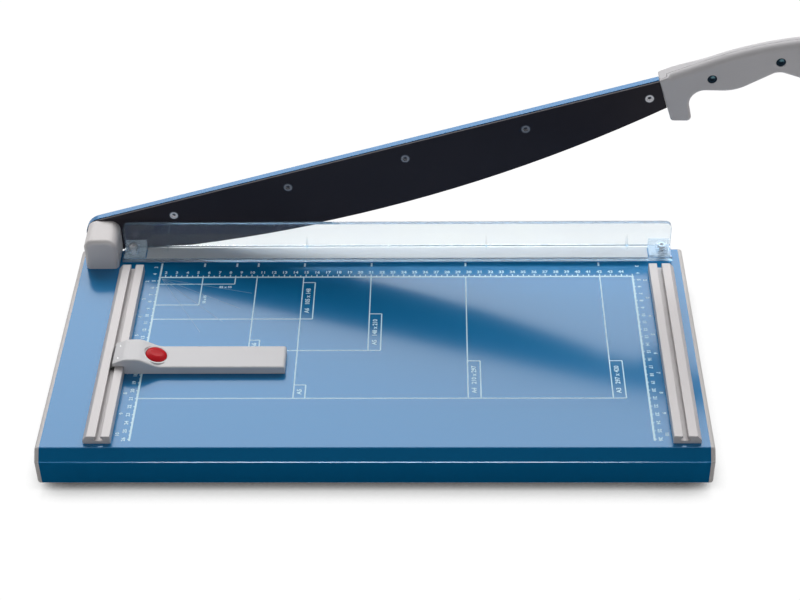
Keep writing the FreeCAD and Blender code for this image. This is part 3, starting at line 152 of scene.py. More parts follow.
# Fine grain of a moulding or a paint: a height for Bump
def makeGrainGroup():
    group, given, result = newGroup(
        "fineGrain",
        [("Place", "NodeSocketVector", None), ("Grain Scale", "NodeSocketFloat", 900.0),
         ("Softness", "NodeSocketFloat", 0.5), ("Speckle", "NodeSocketFloat", 0.3)],
        [("Height", "NodeSocketFloat")])
    link = group.links.new
    cells = addNode(group, "ShaderNodeTexVoronoi", feature="SMOOTH_F1")
    link(given.outputs["Place"], cells.inputs["Vector"])
    link(given.outputs["Grain Scale"], cells.inputs["Scale"])
    link(given.outputs["Softness"], cells.inputs["Smoothness"])
    noise = setInputs(addNode(group, "ShaderNodeTexNoise"), Detail=3.0, Roughness=0.6)
    coarser = addNode(group, "ShaderNodeMath", operation="MULTIPLY")
    coarser.inputs[1].default_value = effects["grainNoise"]
    link(given.outputs["Grain Scale"], coarser.inputs[0])
    link(given.outputs["Place"], noise.inputs["Vector"])
    link(coarser.outputs[0], noise.inputs["Scale"])
    mixed = addNode(group, "ShaderNodeMix", data_type="FLOAT")
    link(given.outputs["Speckle"], mixed.inputs["Factor"])
    link(cells.outputs["Distance"], mixed.inputs[2])
    link(noise.outputs["Fac"], mixed.inputs[3])
    link(mixed.outputs[0], result.inputs["Height"])
    return group


# Lines left by brushing, drawing or grinding: noise drawn out along one axis
def makeBrushGroup():
    group, given, result = newGroup(
        "brushedLines",
        [("Place", "NodeSocketVector", None), ("Stretch", "NodeSocketVector", (1.0, 0.01, 1.0)),
         ("Line Scale", "NodeSocketFloat", 2500.0)],
        [("Height", "NodeSocketFloat")])
    link = group.links.new
    drawn = addNode(group, "ShaderNodeVectorMath", operation="MULTIPLY")
    link(given.outputs["Place"], drawn.inputs[0])
    link(given.outputs["Stretch"], drawn.inputs[1])
    lines = setInputs(addNode(group, "ShaderNodeTexNoise"), Detail=5.0, Roughness=0.7)
    link(drawn.outputs[0], lines.inputs["Vector"])
    link(given.outputs["Line Scale"], lines.inputs["Scale"])
    link(lines.outputs["Fac"], result.inputs["Height"])
    return group


# Slow change of tone and a little dust on what faces up, for every finish
def makeToneGroup():
    group, given, result = newGroup(
        "toneAndDust",
        [("Place", "NodeSocketVector", None), ("Color", "NodeSocketColor", (0.5, 0.5, 0.5, 1)),
         ("Tone Scale", "NodeSocketFloat", 12.0), ("Tone Amount", "NodeSocketFloat", 0.06),
         ("Dust", "NodeSocketFloat", 0.03), ("Roughness", "NodeSocketFloat", 0.4),
         ("Roughness Change", "NodeSocketFloat", 0.08)],
        [("Color", "NodeSocketColor"), ("Roughness", "NodeSocketFloat")])
    link = group.links.new
    slow = setInputs(addNode(group, "ShaderNodeTexNoise"), Detail=4.0, Roughness=0.55)
    link(given.outputs["Place"], slow.inputs["Vector"])
    link(given.outputs["Tone Scale"], slow.inputs["Scale"])
    centred = addNode(group, "ShaderNodeMath", operation="SUBTRACT")
    centred.inputs[1].default_value = 0.5
    link(slow.outputs["Fac"], centred.inputs[0])
    swing = addNode(group, "ShaderNodeMath", operation="MULTIPLY_ADD")
    link(centred.outputs[0], swing.inputs[0])
    link(given.outputs["Tone Amount"], swing.inputs[1])
    swing.inputs[2].default_value = 1.0
    toned = addNode(group, "ShaderNodeHueSaturation")
    link(given.outputs["Color"], toned.inputs["Color"])
    link(swing.outputs[0], toned.inputs["Value"])
    facing = addNode(group, "ShaderNodeNewGeometry")
    split = addNode(group, "ShaderNodeSeparateXYZ")
    link(facing.outputs["Normal"], split.inputs[0])
    upward = addNode(group, "ShaderNodeMapRange")
    upward.inputs["From Min"].default_value = effects["dustFrom"]
    link(split.outputs["Z"], upward.inputs["Value"])
    specks = setInputs(addNode(group, "ShaderNodeTexNoise"), Scale=effects["dustScale"], Detail=2.0)
    link(given.outputs["Place"], specks.inputs["Vector"])
    dusty = addNode(group, "ShaderNodeMath", operation="MULTIPLY")
    link(upward.outputs["Result"], dusty.inputs[0])
    link(specks.outputs["Fac"], dusty.inputs[1])
    amount = addNode(group, "ShaderNodeMath", operation="MULTIPLY")
    link(dusty.outputs[0], amount.inputs[0])
    link(given.outputs["Dust"], amount.inputs[1])
    dusted = addNode(group, "ShaderNodeMix", data_type="RGBA")
    dusted.inputs[7].default_value = effects["dustColor"]
    link(amount.outputs[0], dusted.inputs["Factor"])
    link(toned.outputs["Color"], dusted.inputs[6])
    rough = addNode(group, "ShaderNodeMath", operation="MULTIPLY_ADD")
    link(centred.outputs[0], rough.inputs[0])
    link(given.outputs["Roughness Change"], rough.inputs[1])
    link(given.outputs["Roughness"], rough.inputs[2])
    link(dusted.outputs[2], result.inputs["Color"])
    link(rough.outputs[0], result.inputs["Roughness"])
    return group


fineGrain = makeGrainGroup()
brushedLines = makeBrushGroup()
toneAndDust = makeToneGroup()


def startFinish(name):
    material = bpy.data.materials.new(name)
    material.use_nodes = True
    tree = material.node_tree
    shader = tree.nodes["Principled BSDF"]
    place = addNode(tree, "ShaderNodeTexCoord")
    return material, tree, shader, place


def addTone(tree, shader, place, look):
    tone = addNode(tree, "ShaderNodeGroup", node_tree=toneAndDust)
    tone.inputs["Color"].default_value = (*look["color"], 1)
    tone.inputs["Tone Amount"].default_value = look.get("tone", 0.08)
    tone.inputs["Dust"].default_value = look.get("dust", 0.02)
    tone.inputs["Roughness"].default_value = look["roughness"]
    tone.inputs["Roughness Change"].default_value = look.get("roughnessChange", 0.1)
    tree.links.new(place.outputs["Object"], tone.inputs["Place"])
    tree.links.new(tone.outputs["Color"], shader.inputs["Base Color"])
    tree.links.new(tone.outputs["Roughness"], shader.inputs["Roughness"])


def addBump(tree, shader, height, depth):
    bump = setInputs(addNode(tree, "ShaderNodeBump"), Strength=1.0, Distance=depth)
    tree.links.new(height, bump.inputs["Height"])
    tree.links.new(bump.outputs["Normal"], shader.inputs["Normal"])


# A grained finish: paint or moulded plastic
def grainedFinish(name, look):
    material, tree, shader, place = startFinish(name)
    addTone(tree, shader, place, look)
    grain = addNode(tree, "ShaderNodeGroup", node_tree=fineGrain)
    grain.inputs["Grain Scale"].default_value = look["grainScale"]
    tree.links.new(place.outputs["Object"], grain.inputs["Place"])
    addBump(tree, shader, grain.outputs["Height"], look.get("grainDepth", 0.00002))
    shader.inputs["Metallic"].default_value = look.get("metallic", 0)
    shader.inputs["Alpha"].default_value = look.get("alpha", 1)
    shader.inputs["Specular IOR Level"].default_value = look.get("specular", 0.5)
    shader.inputs["Coat Weight"].default_value = look.get("coat", 0)
    shader.inputs["Coat Roughness"].default_value = look.get("coatRoughness", 0.1)
    return material


# A brushed, drawn or ground metal
def brushedFinish(name, look):
    material, tree, shader, place = startFinish(name)
    addTone(tree, shader, place, look)
    lines = addNode(tree, "ShaderNodeGroup", node_tree=brushedLines)
    lines.inputs["Stretch"].default_value = look["stretch"]
    lines.inputs["Line Scale"].default_value = look.get("lineScale", 2500)
    tree.links.new(place.outputs["Object"], lines.inputs["Place"])
    addBump(tree, shader, lines.outputs["Height"], look.get("lineDepth", 0.00001))
    shader.inputs["Metallic"].default_value = look.get("metallic", 1)
    shader.inputs["Specular IOR Level"].default_value = look.get("specular", 0.5)
    return material


# Clear plastic with a slight haze: its tint comes from what passes through it, but for a painted
# reflection colour where its look gives one
def clearFinish(name, look):
    material, tree, shader, place = startFinish(name)
    addTone(tree, shader, place, look)
    grain = addNode(tree, "ShaderNodeGroup", node_tree=fineGrain)
    grain.inputs["Grain Scale"].default_value = look["waveScale"]
    tree.links.new(place.outputs["Object"], grain.inputs["Place"])
    addBump(tree, shader, grain.outputs["Height"], look["waveDepth"])
    shader.inputs["IOR"].default_value = look["ior"]
    shader.inputs["Transmission Weight"].default_value = look["transmission"]
    shader.inputs["Sheen Weight"].default_value = look["haze"]
    shader.inputs["Sheen Roughness"].default_value = effects["hazeRoughness"]
    shader.inputs["Sheen Tint"].default_value = (*look["hazeTint"], 1)
    # a painted reflection colour, which only glossy rays see
    if "paintedReflectionColor" in look:
        tintMirrored(tree, shader, look["paintedReflectionColor"])
    return material


# Painted reflection: glossy rays see a clear piece in a dark colour of its own, so a glossy surface
# mirrors it darker than the piece itself looks
def tintMirrored(tree, shader, tint):
    ray = addNode(tree, "ShaderNodeLightPath")
    outside = addNode(tree, "ShaderNodeMath", operation="SUBTRACT")
    outside.inputs[0].default_value = 1.0
    tree.links.new(ray.outputs["Is Transmission Ray"], outside.inputs[1])
    mirrored = addNode(tree, "ShaderNodeMath", operation="MULTIPLY")
    tree.links.new(ray.outputs["Is Glossy Ray"], mirrored.inputs[0])
    tree.links.new(outside.outputs[0], mirrored.inputs[1])
    mixIntoColor(tree, shader, mirrored.outputs[0], (*tint, 1))


finishes = {
    "bluePaint": grainedFinish("bluePaint", {
        "color": (0.001, 0.16, 0.38), "roughness": 0.32, "roughnessChange": 0.03, "tone": 0.03,
        "metallic": 0.13, "specular": 0, "coat": 1, "coatRoughness": 0.15, "grainScale": 1400,
        "grainDepth": 0.000006, "dust": 0.001}),
    "beamPaint": grainedFinish("beamPaint", {
        "color": (0.002, 0.16, 0.4), "roughness": 0.32, "tone": 0.05, "metallic": 0.13,
        "specular": 0, "coat": 0.7, "coatRoughness": 0.18, "grainScale": 1200,
        "grainDepth": 0.000005, "dust": 0.002}),
    "capPlastic": grainedFinish("capPlastic", {
        "color": (0.60, 0.58, 0.575), "roughness": 0.5, "grainScale": 1600, "grainDepth": 0.00002}),
    "coverPlastic": grainedFinish("coverPlastic", {
        "color": (0.68, 0.65, 0.65), "roughness": 0.48, "grainScale": 1500, "grainDepth": 0.00003}),
    "handlePlastic": grainedFinish("handlePlastic", {
        "color": (0.65, 0.635, 0.655), "roughness": 0.62, "specular": 0.3, "grainScale": 1300,
        "grainDepth": 0.000012, "tone": 0.1}),
    "gaugePlastic": grainedFinish("gaugePlastic", {
        "color": (0.66, 0.655, 0.675), "roughness": 0.42, "grainScale": 1500,
        "grainDepth": 0.00002}),
    "shoePlastic": grainedFinish("shoePlastic", {
        "color": (0.03, 0.03, 0.035), "roughness": 0.5, "grainScale": 1100}),
    "buttonRed": grainedFinish("buttonRed", {
        "color": (0.56, 0.01, 0.018), "roughness": 0.2, "grainScale": 1400, "grainDepth": 0.000004,
        "specular": 0.08, "dust": 0.003}),
    "footRubber": grainedFinish("footRubber", {
        "color": (0.022, 0.022, 0.022), "roughness": 0.8, "grainScale": 800,
        "grainDepth": 0.00006}),
    "bladeBlack": brushedFinish("bladeBlack", {
        "color": (0.019, 0.015, 0.024), "roughness": 0.4, "metallic": 0.1, "specular": 0.22,
        "tone": 0.2, "dust": 0, "stretch": (0.02, 1.0, 1.0), "lineScale": 1800,
        "lineDepth": 0.000006}),
    "groundSteel": brushedFinish("groundSteel", {
        "color": (0.52, 0.52, 0.53), "roughness": 0.3, "stretch": (1.0, 1.0, 0.02)}),
    "zincSteel": brushedFinish("zincSteel", {
        "color": (0.56, 0.57, 0.58), "roughness": 0.33, "stretch": (1.0, 1.0, 1.0),
        "lineScale": 700, "tone": 0.15}),
    "darkSteel": brushedFinish("darkSteel", {
        "color": (0.045, 0.05, 0.065), "roughness": 0.42, "metallic": 0.7,
        "stretch": (1.0, 1.0, 1.0), "lineScale": 900, "tone": 0.2}),
    "springSteel": brushedFinish("springSteel", {
        "color": (0.5, 0.5, 0.51), "roughness": 0.25, "stretch": (1.0, 1.0, 0.1),
        "lineScale": 3000}),
    "railAluminium": brushedFinish("railAluminium", {
        "color": (0.56, 0.535, 0.54), "roughness": 0.42, "metallic": 0.12, "tone": 0.06,
        "stretch": (1.0, 0.012, 1.0), "lineScale": 2600, "lineDepth": 0.00001}),
    "bronze": brushedFinish("bronze", {
        "color": (0.42, 0.26, 0.1), "roughness": 0.4, "stretch": (1.0, 1.0, 1.0),
        "lineScale": 800}),
    # its last colour is a painted reflection colour, seen only by glossy rays
    "clearPlastic": clearFinish("clearPlastic", {
        "color": (0.94, 0.985, 1.0), "roughness": 0.02, "ior": 1.49, "transmission": 0.985,
        "dust": 0, "haze": 0.35, "hazeTint": (0.5, 0.68, 0.9), "waveScale": 40,
        "waveDepth": 0.0000004, "paintedReflectionColor": (0.06, 0.18, 0.32)}),
    "clearHousing": clearFinish("clearHousing", {
        "color": (0.88, 0.95, 1.0), "roughness": 0.05, "ior": 1.2, "transmission": 0.82, "dust": 0,
        "haze": 0.5, "hazeTint": (0.5, 0.68, 0.9), "waveScale": 60, "waveDepth": 0.000001}),
    "hazeAndSheenStrip": grainedFinish("hazeAndSheenStrip", {
        "color": (0.76, 0.79, 0.81), "roughness": 0.6, "grainScale": 700, "alpha": 0.58}),
    "postSteel": brushedFinish("postSteel", {
        "color": (0.82, 0.83, 0.85), "roughness": 0.3, "metallic": 0.55,
        "stretch": (1.0, 1.0, 0.1)}),
    "bluedSteel": brushedFinish("bluedSteel", {
        "color": (0.02, 0.05, 0.085), "roughness": 0.25, "metallic": 0.6,
        "stretch": (1.0, 1.0, 1.0), "lineScale": 900, "tone": 0.25}),
    "printWhite": grainedFinish("printWhite", {
        "color": (0.62, 0.87, 0.99), "roughness": 0.5, "grainScale": 2500, "grainDepth": 0.000004}),
    "printFaint": grainedFinish("printFaint", {
        "color": (0.22, 0.36, 0.52), "roughness": 0.4, "grainScale": 2500, "grainDepth": 0.000004}),
}

nodeFinish = {
    "bluePaint": ["table_shell"],
    "beamPaint": ["arm_beam"],
    "capPlastic": ["end_cap_left", "end_cap_right"],
    "coverPlastic": ["pivot_cover"],
    "handlePlastic": ["handle_front_half", "handle_rear_half"],
    "gaugePlastic": ["gauge_body"],
    "shoePlastic": ["gauge_shoe", "gauge_brake"],
    "buttonRed": ["gauge_button"],
    "footRubber": ["foot_back_left", "foot_front_left", "foot_back_right", "foot_front_right"],
    "bladeBlack": ["upper_blade"],
    "groundSteel": ["counter_blade"],
    "zincSteel": ["counter_blade_screws", "rail_screws", "pivot_bracket", "bracket_screws",
                  "cover_screws", "pivot_bolt", "thrust_washer", "pivot_nut", "shoe_screws",
                  "foot_screws"],
    "postSteel": ["guide_posts"],
    "darkSteel": ["back_bar", "disc_springs", "blade_screws"],
    "bluedSteel": ["handle_screws", "handle_nuts"],
    "railAluminium": ["guide_rail_left", "guide_rail_right"],
    "bronze": ["pivot_bush"],
    "clearPlastic": ["clamp_guard"],
    "clearHousing": ["guard_end_left", "guard_end_right"],
}
for finish, names in nodeFinish.items():
    for name in names:
        mesh = nodes[name].data
        mesh.materials.clear()
        mesh.materials.append(finishes[finish])
for name in nodeFinish["clearPlastic"] + nodeFinish["clearHousing"]:
    nodes[name].visible_shadow = False       # clear plastic lets the light through
print("finishes given to", sum(len(names) for names in nodeFinish.values()), "nodes")


# Painted light on screw heads, in shares of the head's radius: on the blade screws a pale ring
# round the dark socket, partly their metal and partly painted light, with the socket left dark as
# painted shade and the two end screws brighter; on the handle screws a painted highlight spot above
# the middle. The mark is whole up to the first share of its half width, and gone at the second
screwPaintedLight = {
    "blade_screws": {
        "finish": "darkSteel", "shine": (1.0, 0.3, 0.3, 0.3, 1.0), "ring": 0.6, "halfWidth": 0.22,
        "offset": (0, 0), "color": (0.72, 0.71, 0.73, 1)},
    "handle_screws": {
        "finish": "bluedSteel", "shine": (0.8, 0.8), "ring": 0, "halfWidth": 0.4,
        "offset": (0.1, 0.3), "color": (0.45, 0.85, 1.0, 1)},
}
markEdge = (0.6, 1.5)
screwApart = 0.004             # metres along x that part one screw from the next


def headCentres(mesh):
    groups = []
    for place in sorted((corner.co.copy() for corner in mesh.vertices), key=lambda place: place.x):
        if groups and place.x - groups[-1][-1].x < screwApart:
            groups[-1].append(place)
        else:
            groups.append([place])
    centres = [sum(group, Vector()) / len(group) for group in groups]
    return centres, groups[0][-1].x - centres[0].x


# Paints the light on the screw heads into a copy of the node's finish
def markHeads(node, look):
    material = finishes[look["finish"]].copy()
    material.name = node + "_painted_light"
    tree = material.node_tree
    shader = tree.nodes["Principled BSDF"]
    mesh = nodes[node].data
    mesh.materials[0] = material
    place = addNode(tree, "ShaderNodeTexCoord")
    flat = addNode(tree, "ShaderNodeVectorMath", operation="MULTIPLY")
    flat.inputs[1].default_value = (1, 0, 1)
    tree.links.new(place.outputs["Object"], flat.inputs[0])
    centres, radius = headCentres(mesh)
    total = None
    for middle, shine in zip(centres, look["shine"]):
        apart = addNode(tree, "ShaderNodeVectorMath", operation="DISTANCE")
        right, up = look["offset"]
        apart.inputs[1].default_value = (middle.x + right * radius, 0, middle.z + up * radius)
        tree.links.new(flat.outputs[0], apart.inputs[0])
        away = addNode(tree, "ShaderNodeMath", operation="SUBTRACT")
        away.inputs[1].default_value = look["ring"] * radius
        tree.links.new(apart.outputs["Value"], away.inputs[0])
        size = addNode(tree, "ShaderNodeMath", operation="ABSOLUTE")
        tree.links.new(away.outputs[0], size.inputs[0])
        mark = addNode(tree, "ShaderNodeMapRange", interpolation_type="SMOOTHSTEP")
        whole, gone = (look["halfWidth"] * radius * share for share in markEdge)
        setRange(mark, whole, gone, shine, 0)
        tree.links.new(size.outputs[0], mark.inputs["Value"])
        if total:
            added = addNode(tree, "ShaderNodeMath", operation="ADD")
            tree.links.new(total, added.inputs[0])
            tree.links.new(mark.outputs["Result"], added.inputs[1])
            total = added.outputs[0]
        else:
            total = mark.outputs["Result"]
    mixIntoColor(tree, shader, total, look["color"])
    print(node, "heads marked:", len(centres))


for node, look in screwPaintedLight.items():
    markHeads(node, look)


# Makes an object of a bmesh, and frees the bmesh
def newObject(name, mesh):
    data = bpy.data.meshes.new(name)
    mesh.to_mesh(data)
    mesh.free()
    made = bpy.data.objects.new(name, data)
    bpy.context.scene.collection.objects.link(made)
    return made


def newPiece(name, mesh, finish, body):
    piece = newObject(name, mesh)
    piece.data.materials.append(finishes[finish])
    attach(piece, body)
    return piece


# Sizes in mm. Places are (x, d): x to the right, d from the cutting edge towards the operator
tablePrint = {
    "thickness": 0.03,         # above the paint
    "crossing": 1.3,           # height of the lines towards the operator, in thicknesses
    "fineLine": 1.05,
    "line": 1.7,
    "faintLine": 0.35,
    "left": 15.0,              # zero line of the left scale
    "right": 450.0,
    "backLine": 45.0,          # depth of the upper scale's line
    "leftStart": 24,
    "scaleEnd": 262.0,
    "tickApart": 5,
    "tick": (2.4, 3.6),        # short and long
    "sideTick": (1.2, 1.8),
    "digitHeight": 3.6,
    "digitStroke": 0.16,       # by which a digit's strokes are widened
    "capital": 0.72,           # height of a capital, in shares of the font's size
    "curveSteps": 2,
    # from the scale's line to the middle of its numbers, what a number counts, and the numbers
    "upperNumbers": (6.8, 10, range(2, 45)),
    "sideNumbers": [(5.0, 10, range(3, 27)), (10.8, 25.4, range(2, 11))],
    "angles": (15, 30, 45, 60),
    "angleStart": 2,
    "angleReach": 90,
    "uprights": [              # x of each line towards the operator, and the depth where it ends
        (55, 85), (85, 55), (105, 148), (148, 210), (210, 148), (297, 210), (420, 210)],
    "mark": (24.5, 29.5),      # from and to, on the same lines beside the clamp bar
    "acrosses": [              # depth of each line across, and the x where it ends
        (55, 85), (85, 55), (105, 159), (148, 221), (210, 431)],
    "formats": [               # last corner of a sheet format, its name, and the box of the name
        (105, 148, "A6", 9, 14), (148, 210, "A5", 10, 17), (148, 105, "A6   105 x 148", 11, 52),
        (210, 148, "A5   148 x 210", 11, 50), (297, 210, "A4   210 x 297", 11, 48),
        (420, 210, "A3   297 x 420", 11, 48)],
    "cards": [                 # words beside the two small sheets: text, middle and turn
        ("85 x 55", 77, 59.5, 0), ("55 x 85", 59.5, 77, 90)],
    "sideText": 0.9,           # heights in shares of the digits' height
    "formatText": 1.15,
    "cardText": 0.75,
}


# Adds a flat bar between two points of the table. Bars that cross differ in height, so that no two
# faces lie in one plane
def addBar(mesh, x0, d0, x1, d1, width):
    across = abs(x1 - x0) > abs(d1 - d0)
    rise = tablePrint["thickness"] * (1 if across else tablePrint["crossing"])
    reach = math.hypot(x1 - x0, d1 - d0)
    size = Matrix.Diagonal((reach / 1000, width / 1000, rise / 1000, 1))
    turn = Matrix.Rotation(math.atan2(d0 - d1, x1 - x0), 4, "Z")
    middle = at((x0 + x1) / 2, -(d0 + d1) / 2, rise / 2)
    bmesh.ops.create_cube(mesh, size=1, matrix=Matrix.Translation(middle) @ turn @ size)


def printScaleLines():
    mesh = bmesh.new()
    left, right, back, end = (tablePrint[key] for key in ("left", "right", "backLine", "scaleEnd"))
    fine, line = tablePrint["fineLine"], tablePrint["line"]
    addBar(mesh, left, back, right, back, line)
    addBar(mesh, left, tablePrint["leftStart"], left, end, line)
    addBar(mesh, right, back, right, end, line)
    apart = tablePrint["tickApart"]
    for step in range(int(right - left) // apart + 1):
        x = left + apart * step
        addBar(mesh, x, back, x, back - tablePrint["tick"][step % 2], fine)
    for step in range(int(end - back) // apart + 1):
        d = back + apart * step
        long = tablePrint["sideTick"][step % 2]
        addBar(mesh, left, d, left - long, d, fine)
        addBar(mesh, right, d, right + long, d, fine)
    markStart, markEnd = tablePrint["mark"]
    for x, depth in tablePrint["uprights"]:
        addBar(mesh, x, back, x, depth, fine)
        addBar(mesh, x, markStart, x, markEnd, line)
    for d, reach in tablePrint["acrosses"]:
        addBar(mesh, left, d, reach, d, fine)
    for x, d, name, width, height in tablePrint["formats"]:
        addBar(mesh, x, d - height, x + width, d - height, fine)
        addBar(mesh, x + width, d - height, x + width, d, fine)
    newPiece("scaleLines", mesh, "printWhite", "base")


def printAngleLines():
    mesh = bmesh.new()
    left, back, start = tablePrint["left"], tablePrint["backLine"], tablePrint["angleStart"]
    for angle in tablePrint["angles"]:
        right = tablePrint["angleReach"] * math.cos(math.radians(angle))
        down = tablePrint["angleReach"] * math.sin(math.radians(angle))
        addBar(mesh, left + start, back + start, left + right, back + down, tablePrint["faintLine"])
    newPiece("angleLines", mesh, "printFaint", "base")


# Numbers of the scales and names of the formats: each a text made a mesh, all joined into one piece
def printNumbers():
    mesh = bmesh.new()
    height, left, right, back = (
        tablePrint[key] for key in ("digitHeight", "left", "right", "backLine"))
    away, spacing, numbers = tablePrint["upperNumbers"]
    entries = [(str(number), number * spacing, back - away, 0, height) for number in numbers]
    small = height * tablePrint["sideText"]
    for away, spacing, numbers in tablePrint["sideNumbers"]:
        for number in numbers:
            entries.append((str(number), left - away, number * spacing, 90, small))
            entries.append((str(number), right + away, number * spacing, -90, small))
    for x, d, name, width, tall in tablePrint["formats"]:
        entries.append((name, x + width / 2, d - tall / 2, 90, height * tablePrint["formatText"]))
    for text, x, d, turn in tablePrint["cards"]:
        entries.append((text, x, d, turn, height * tablePrint["cardText"]))
    for text, x, d, turn, size in entries:
        addText(mesh, text, x, d, turn, size)
    newPiece("scaleNumbers", mesh, "printWhite", "base")


def addText(mesh, text, x, d, turn, size):
    curve = bpy.data.curves.new("digits", "FONT")
    curve.body = text
    curve.size = size / 1000 / tablePrint["capital"]
    curve.align_x = "CENTER"
    curve.align_y = "CENTER"
    curve.resolution_u = tablePrint["curveSteps"]
    curve.offset = tablePrint["digitStroke"] / 1000
    curve.extrude = tablePrint["thickness"] / 2000
    carrier = bpy.data.objects.new("digits", curve)
    bpy.context.scene.collection.objects.link(carrier)
    bpy.context.view_layer.update()
    letters = bpy.data.meshes.new_from_object(carrier)
    turned = Matrix.Rotation(math.radians(turn), 4, "Z")
    letters.transform(Matrix.Translation(at(x, -d, tablePrint["thickness"] / 2)) @ turned)
    mesh.from_mesh(letters)
    bpy.data.meshes.remove(letters)
    bpy.data.objects.remove(carrier)
    bpy.data.curves.remove(curve)


printScaleLines()
printAngleLines()
printNumbers()
print("scales printed")


guardStrip = {
    "depth": (6.4, 23.2),      # from and to, in front of the cutting edge
    "height": (5.08, 5.2),     # on the top of the clear foot
    "margin": 22.2,            # free at each end, where the housings stand
    "edge": 0.04,              # rounding of the long edges
}


# A pale, half-clear film on the clamp bar's clear foot, partly the haze of the plastic and partly
# painted sheen, which makes the foot paler than the table under it
def makeGuardStrip():
    low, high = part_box("clamp_guard")
    near, far = guardStrip["depth"]
    under, over = guardStrip["height"]
    margin = guardStrip["margin"] / 1000
    length = high.x - low.x - 2 * margin
    size = Matrix.Diagonal((length, (far - near) / 1000, (over - under) / 1000, 1))
    middle = at(0, -(near + far) / 2, (under + over) / 2)
    middle.x = (low.x + high.x) / 2
    mesh = bmesh.new()
    bmesh.ops.create_cube(mesh, size=1, matrix=Matrix.Translation(middle) @ size)
    long = [edge for edge in mesh.edges
            if abs(edge.verts[0].co.x - edge.verts[1].co.x) > length / 2]
    bmesh.ops.bevel(mesh, geom=long, offset=guardStrip["edge"] / 1000, offset_type="OFFSET",
                    segments=2, profile=0.5, affect="EDGES", material=-1)
    film = newPiece("guardStrip", mesh, "hazeAndSheenStrip", "clamp")


makeGuardStrip()
print("pale strip on the clamp bar")


# Coil springs that the clamp bar and the brake press together, each with a fixed end. Their wire
# and the travel are in mm, and the axis is 0 for x or 2 for z
guardCoil = {"axis": 2, "wire": 0.8, "body": "base", "joint": "clamp_press", "travel": 1.4,
             "fixedHigh": False}
coils = {
    "guardSpringLeft": {"node": "guard_spring_left", **guardCoil},
    "guardSpringRight": {"node": "guard_spring_right", **guardCoil},
    "brakeSpring": {"node": "brake_spring", "axis": 0, "wire": 0.5, "body": "gauge",
                    "joint": "brake_slide", "travel": 1.0, "fixedHigh": True},
}
coilShape = {"turns": 3, "stepsPerTurn": 28, "sides": 12}


def makeCoil(name, look):
    low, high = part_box(look["node"])
    axis = look["axis"]
    side = (axis + 1) % 3
    along, outward = Vector((0, 0, 0)), Vector((0, 0, 0))
    along[axis] = outward[side] = 1
    wire = look["wire"] / 1000
    middle = (low + high) / 2
    length = high[axis] - low[axis]
    start = middle + outward * ((high[side] - low[side]) / 2 - wire / 2)
    start[axis] = low[axis] + wire / 2
    steps = coilShape["turns"] * coilShape["stepsPerTurn"]
    mesh = bmesh.new()
    square = along.cross(outward).to_track_quat("Z", "Y").to_matrix().to_4x4()
    bmesh.ops.create_circle(mesh, cap_ends=False, segments=coilShape["sides"], radius=wire / 2,
                            matrix=Matrix.Translation(start) @ square)
    bmesh.ops.spin(mesh, geom=mesh.verts[:] + mesh.edges[:], cent=middle, axis=along,
                   dvec=along * (length - wire) / steps, angle=2 * math.pi * coilShape["turns"],
                   steps=steps)
    bmesh.ops.holes_fill(mesh, edges=[edge for edge in mesh.edges if edge.is_boundary])
    bmesh.ops.recalc_face_normals(mesh, faces=mesh.faces[:])
    for face in mesh.faces:
        face.smooth = len(face.verts) == 4
    coil = newPiece(name, mesh, "springSteel", look["body"])
    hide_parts(look["node"])
    anchor = middle.copy()
    anchor[axis] = high[axis] if look["fixedHigh"] else low[axis]
    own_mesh(coil)


for name, look in coils.items():
    makeCoil(name, look)
print("springs wound")


# Lengths in metres
studio = {
    "floorShade": 0.8,         # what the floor throws back of the lamps
    "floorWhite": 1.02,        # the open floor to the eye
    "floorSize": 6,            # from the middle to each side
    "floorDrop": 0.0005,
    "shadowReach": 0.03,       # from the machine, in which the eye sees its shadow
    "shadowRange": (0.22, 0.78),    # open share where the shadow is darkest and where it ends
    "shadowDark": 0.05,
    "shadowSamples": 8,
    "ambient": 0.3,            # light of the room from the back
    "ambientFront": 0.26,      # light of the room from the operator's side
    "ambientRange": (-0.5, 0.4),    # y of the direction in which one turns into the other
    "cardShade": 0.01,
    "cardPlace": -4.3,         # y of the dark card's wall
    "cardHalf": 3,             # half its height and half its width
    "cardRoof": 3.6,           # how far its top comes forward
    "lamps": {                 # place, what it faces, width, height and brightness
        "backSoftbox": ((0, 2.2, 1.95), (0, 0, 0), 4.8, 2.3, 2.86),
        "frontGloss": ((-0.13, -2.6, 0.64), (-0.13, 0, 0.64), 1.1, 1.15, 16.0)},
}


# 1 for what the eye sees, straight, mirrored or through clear plastic, 0 for what only throws light
def addSight(tree):
    ray = addNode(tree, "ShaderNodeLightPath")
    mirrored = addNode(tree, "ShaderNodeMath", operation="MAXIMUM")
    seen = addNode(tree, "ShaderNodeMath", operation="MAXIMUM")
    tree.links.new(ray.outputs["Is Camera Ray"], mirrored.inputs[0])
    tree.links.new(ray.outputs["Is Glossy Ray"], mirrored.inputs[1])
    tree.links.new(mirrored.outputs[0], seen.inputs[0])
    tree.links.new(ray.outputs["Is Transmission Ray"], seen.inputs[1])
    return seen


# A material with nothing but its output
def bareMaterial(name):
    material = bpy.data.materials.new(name)
    material.use_nodes = True
    tree = material.node_tree
    tree.nodes.clear()
    return material, tree, addNode(tree, "ShaderNodeOutputMaterial")


def mixShaders(tree, output, mask, below, above):
    chosen = addNode(tree, "ShaderNodeMixShader")
    tree.links.new(mask, chosen.inputs["Fac"])
    tree.links.new(below.outputs[0], chosen.inputs[1])
    tree.links.new(above.outputs[0], chosen.inputs[2])
    tree.links.new(chosen.outputs[0], output.inputs["Surface"])
